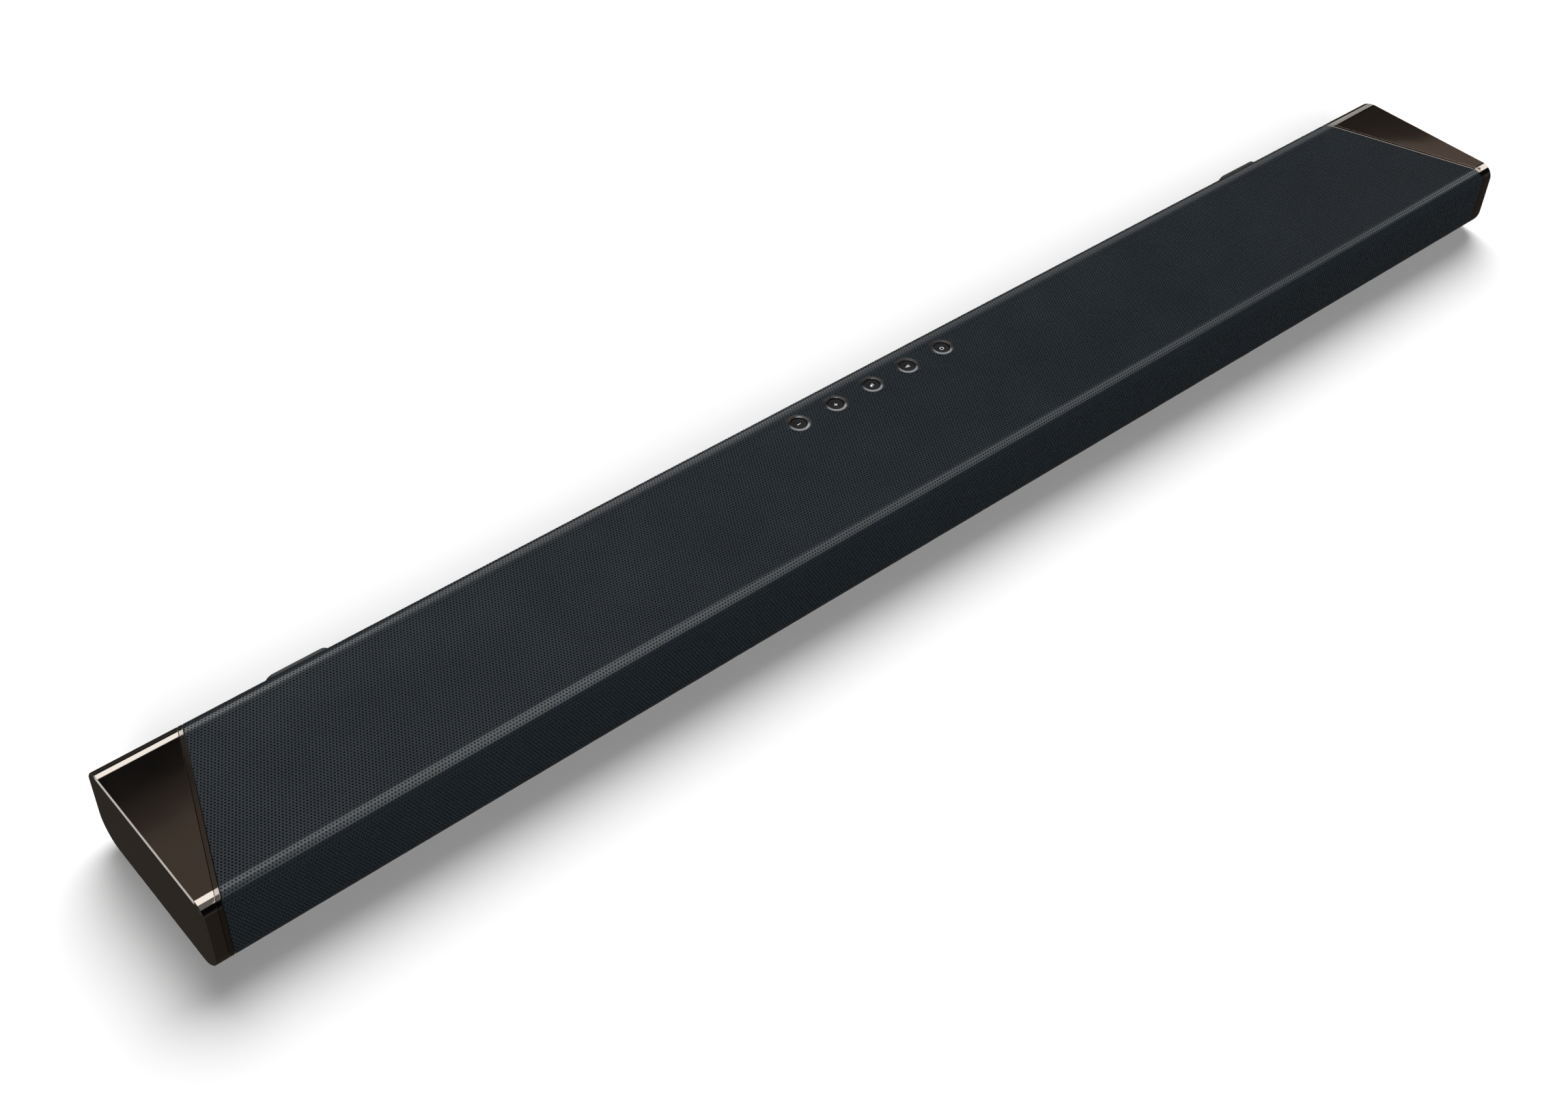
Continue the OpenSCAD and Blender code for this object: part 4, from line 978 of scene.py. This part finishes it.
def screw_shape(head_radius, length, turn):
    """Points and faces of a screw along +Z, with a tapered cross recess in the head's face at Z 0."""
    steps, half = SCREW_STEPS, CROSS_HALF_WIDTH
    profile = [(head_radius - 0.7, 0.0), (head_radius - 0.28, 0.1), (head_radius - 0.05, 0.36)]
    profile += [(head_radius, 0.7), (head_radius, HEAD_HEIGHT), (SHAFT_RADIUS, HEAD_HEIGHT)]
    profile += [(SHAFT_RADIUS, length - 0.9), (0.55, length), (0.0, length)]
    points, faces = lathe_rows(profile, steps)
    corner = [(half, half), (half, CROSS_ARM), (-half, CROSS_ARM)]
    cross = []
    for quarter in range(4):
        a = quarter * math.pi / 2 + turn
        cross += [(x * math.cos(a) - y * math.sin(a), x * math.sin(a) + y * math.cos(a)) for x, y in corner]
    first, n = len(points), len(cross)
    points += [(x, y, 0.0) for x, y in cross]
    points += [(CROSS_TAPER * x, CROSS_TAPER * y, RECESS_DEPTH) for x, y in cross]
    faces += [(first + i, first + (i + 1) % n, first + n + (i + 1) % n, first + n + i) for i in range(n)]
    faces.append(tuple(first + n + i for i in range(n)))
    flat = [Vector(p[:2]) for p in points[:steps]] + [Vector(p) for p in cross]
    edges = [(i, (i + 1) % steps) for i in range(steps)]
    edges += [(steps + i, steps + (i + 1) % n) for i in range(n)]
    made, _, triangles, origins, _, _ = delaunay_2d_cdt(flat, edges, [], 0, 1e-6)
    names = list(range(steps)) + list(range(first, first + n))
    for triangle in triangles:
        middle = sum((np.array(made[i]) for i in triangle), np.zeros(2)) / 3
        if not inside(middle, np.array(cross)):
            faces.append(tuple(names[origins[i][0]] for i in triangle))
    return points, faces


def make_screws(name, node, axis, head_side):
    """Screws with recessed heads in place of a CAD node's plain ones."""
    parts = []
    for k, (low, high) in enumerate(islands(node)):
        across = [i for i in range(3) if i != axis]
        head_radius = (high[across[0]] - low[across[0]]) / 2
        shape, faces = screw_shape(head_radius, high[axis] - low[axis], TURN_STEP * k)
        shape = np.array(shape)
        points = np.zeros_like(shape)
        for i, at in enumerate(across):
            points[:, at] = (low[at] + high[at]) / 2 + shape[:, i]
        points[:, axis] = (high if head_side > 0 else low)[axis] - head_side * shape[:, 2]
        parts.append((points, faces))
    mesh = make_mesh(name, *joined(parts), 30.0)
    add_object(name, mesh, "screw_steel", (node,))


make_screws("housing_screw_set", "housing_screws", 2, -1)
make_screws("bracket_screw_set", "bracket_screws", 1, 1)

for word in ("left", "right"):
    make_bracket(word)

# ---- Camera, light and floor ----

# Metres and degrees; the lens in millimetres for a sensor of this width
CAMERA_PLACE = (-0.7142, -0.6746, 0.8625)
CAMERA_HEADING = -42.502
CAMERA_DROP = 43.658
CAMERA_ROLL = 2.62
LENS, SENSOR = 47.565, 36.0
BACKDROP_RADIUS = 14.0
FLOOR_HALF, FLOOR_STEPS = 9.0, 6
PANEL_HEIGHT = 2.1
REAR_Y, LEFT_Y = 2.6, 2.2


def make_camera():
    """A camera at the heading, drop below the horizon and roll above."""
    heading, drop, roll = (math.radians(a) for a in (CAMERA_HEADING, CAMERA_DROP, CAMERA_ROLL))
    ahead = Vector((-math.sin(heading) * math.cos(drop), math.cos(heading) * math.cos(drop), -math.sin(drop)))
    level = ahead.cross(Vector((0, 0, 1))).normalized()
    up = level.cross(ahead)
    right = level * math.cos(roll) + up * math.sin(roll)
    up = right.cross(ahead)
    data = bpy.data.cameras.new("camera")
    data.lens = LENS
    data.sensor_width = SENSOR
    data.clip_start, data.clip_end = 0.01, 60.0
    camera = bpy.data.objects.new("camera", data)
    bpy.context.scene.collection.objects.link(camera)
    turn = Matrix((right, up, -ahead)).transposed().to_4x4()
    camera.matrix_world = Matrix.Translation(CAMERA_PLACE) @ turn
    bpy.context.scene.camera = camera


def add_light(name, kind, at, aim, energy, seen_by):
    """A light that only diffuse or only glossy surfaces see: shading and reflections are set apart."""
    data = bpy.data.lights.new(name, kind)
    data.energy = energy
    light = bpy.data.objects.new(name, data)
    bpy.context.scene.collection.objects.link(light)
    light.location = at
    light.rotation_mode = "QUATERNION"
    light.rotation_quaternion = (Vector(aim) - Vector(at)).to_track_quat("-Z", "Y")
    light.visible_camera = False
    light.visible_diffuse = seen_by == "diffuse"
    light.visible_glossy = seen_by == "glossy"
    return data


def sky_light(name, heading, height, spread, energy):
    """Even light from a wide patch of sky, for shading and soft shadows."""
    heading, height = math.radians(heading), math.radians(height)
    level = math.cos(height)
    away = Vector((math.sin(heading) * level, math.cos(heading) * level, math.sin(height)))
    data = add_light(name, "SUN", away * 4, (0, 0, 0), energy, "diffuse")
    data.angle = math.radians(spread)


WHITE, WARM = (1.0, 1.0, 1.0), (1.0, 0.80, 0.68)


def panel(name, at, aim, size, radiance, colour=WHITE):
    """A rectangular light of a given brightness that only shows in reflections."""
    data = add_light(name, "AREA", at, aim, radiance * math.pi * size[0] * size[1], "glossy")
    data.shape = "RECTANGLE"
    data.size, data.size_y = size
    data.color = colour


def ceiling_panel(name, x_range, y_range, radiance, colour=WHITE):
    """A level panel over the bar."""
    x, y = sum(x_range) / 2, sum(y_range) / 2
    size = (x_range[1] - x_range[0], y_range[1] - y_range[0])
    panel(name, (x, y, PANEL_HEIGHT), (x, y, 0.0), size, radiance, colour)


def standing_panel(name, x_range, z_range, y, radiance):
    """An upright panel behind the bar."""
    x, z = sum(x_range) / 2, sum(z_range) / 2
    size = (x_range[1] - x_range[0], z_range[1] - z_range[0])
    panel(name, (x, y, z), (x, 0.0, z), size, radiance)


def make_world():
    """A dark studio for reflections: a faint horizon, a black ceiling, and a warm glow below."""
    world = bpy.data.worlds.new("studio")
    bpy.context.scene.world = world
    world.use_nodes = True
    tree = world.node_tree
    tree.nodes.clear()
    direction = add_node(tree, "TexCoord").outputs["Generated"]
    height = add_node(tree, "SeparateXYZ", Vector=direction).outputs["Z"]
    level = between(tree, height, 0.0, 1.0, -1.0, 1.0)
    warm = (0.040, 0.034, 0.028)
    stops = [(0.0, warm), (0.48, warm), (0.51, 0.08), (0.56, 0.06)]
    stops += [(0.65, 0.008), (0.80, 0.005), (1.0, 0.01)]
    background = add_node(tree, "Background", Color=ramp(tree, level, stops), Strength=1.0)
    output = tree.nodes.new("ShaderNodeOutputWorld")
    tree.links.new(background.outputs["Background"], output.inputs["Surface"])


def make_backdrop():
    """A white surround that only the camera sees, so that every view has the same plain background."""
    material, tree, shader = new_material("backdrop_paper")
    tone = noise(tree, object_point(tree), 0.2, 1.0)
    shader.inputs["Base Color"].default_value = (0.0, 0.0, 0.0, 1.0)
    shader.inputs["Specular IOR Level"].default_value = 0.0
    tree.links.new(ramp(tree, tone, [(0.3, 0.99), (0.7, 1.0)]), shader.inputs["Emission Color"])
    shader.inputs["Emission Strength"].default_value = 1.0
    turns = np.radians(np.linspace(90, -90, 25))
    profile = [(round(math.cos(a), 9), math.sin(a)) for a in turns]
    points, faces = lathe_rows(profile, 48)
    mesh = bpy.data.meshes.new("backdrop")
    mesh.from_pydata((np.array(points) * BACKDROP_RADIUS).tolist(), [], faces)
    mesh.shade_smooth()
    mesh.materials.append(material)
    backdrop = bpy.data.objects.new("backdrop", mesh)
    bpy.context.scene.collection.objects.link(backdrop)
    for ray in ("diffuse", "glossy", "transmission", "volume_scatter", "shadow"):
        setattr(backdrop, "visible_" + ray, False)


def make_floor():
    """A pale sheet, clear from below so that it doesn't hide the underside."""
    material, tree, shader = new_material("floor_paper")
    point = object_point(tree)
    tone = noise(tree, point, 3.0, 2.0)
    tree.links.new(ramp(tree, tone, [(0.3, 0.80), (0.7, 0.82)]), shader.inputs["Base Color"])
    shader.inputs["Roughness"].default_value = 0.9
    shader.inputs["Specular IOR Level"].default_value = 0.0
    behind = add_node(tree, "NewGeometry").outputs["Backfacing"]
    clear = add_node(tree, "BsdfTransparent").outputs["BSDF"]
    mixed = add_node(tree, "MixShader", i0=behind, i1=shader.outputs["BSDF"], i2=clear)
    output = next(n for n in tree.nodes if n.type == "OUTPUT_MATERIAL")
    tree.links.new(mixed.outputs["Shader"], output.inputs["Surface"])
    mesh = bpy.data.meshes.new("floor")
    stops = [FLOOR_HALF * (2 * i / FLOOR_STEPS - 1) for i in range(FLOOR_STEPS + 1)]
    points = [(x, y, 0.0) for x in stops for y in stops]
    corners = [i * len(stops) + j for i in range(FLOOR_STEPS) for j in range(FLOOR_STEPS)]
    faces = [(c, c + len(stops), c + len(stops) + 1, c + 1) for c in corners]
    mesh.from_pydata(points, [], faces)
    mesh.materials.append(material)
    floor = bpy.data.objects.new("floor", mesh)
    bpy.context.scene.collection.objects.link(floor)
    floor.visible_glossy = False


make_camera()
make_world()
make_backdrop()
make_floor()

# Shading
sky_light("rear_sky", 42, 49, 50, 4.3)
sky_light("front_sky", 218, 31, 20, 1.6)
sky_light("front_low", 190, 8, 20, 1.2)

# Reflections in the top, and in the front and rear edges
ceiling_panel("left_ceiling", (-1.6, 0.1), (-0.35, 1.12), 2.6)
ceiling_panel("left_front", (-1.6, 0.1), (-1.8, -0.35), 0.3)
ceiling_panel("near_ceiling", (0.1, 0.9), (-1.75, 1.0), 2.3)
ceiling_panel("middle_ceiling", (0.9, 2.1), (-1.8, 0.55), 1.5)
ceiling_panel("far_ceiling", (2.1, 2.75), (-1.8, 0.6), 0.85)
ceiling_panel("right_ceiling", (2.88, 4.8), (-1.25, 0.55), 2.4)
ceiling_panel("left_glow", (-1.6, 1.9), (1.12, 1.69), 0.13, WARM)
ceiling_panel("left_dusk", (-1.6, 1.9), (1.69, 1.77), 0.05, WARM)
ceiling_panel("right_glow", (2.7, 4.8), (1.0, 1.67), 0.195, WARM)
ceiling_panel("right_dusk", (2.7, 4.8), (1.67, 2.2), 0.035, WARM)
standing_panel("rear_left_strip", (-0.45, 0.6), (1.0, 2.4), REAR_Y, 2.5)
standing_panel("rear_middle_strip", (0.6, 1.7), (0.3, 2.4), REAR_Y, 1.1)
standing_panel("rear_strip", (1.7, 4.0), (0.3, 2.3), REAR_Y, 0.65)
standing_panel("rear_right_strip", (4.0, 5.6), (0.8, 1.8), REAR_Y, 1.05)
standing_panel("left_strip", (-5.0, -2.0), (0.2, 1.3), LEFT_Y, 0.9)
bpy.context.scene.view_settings.view_transform = "Standard"
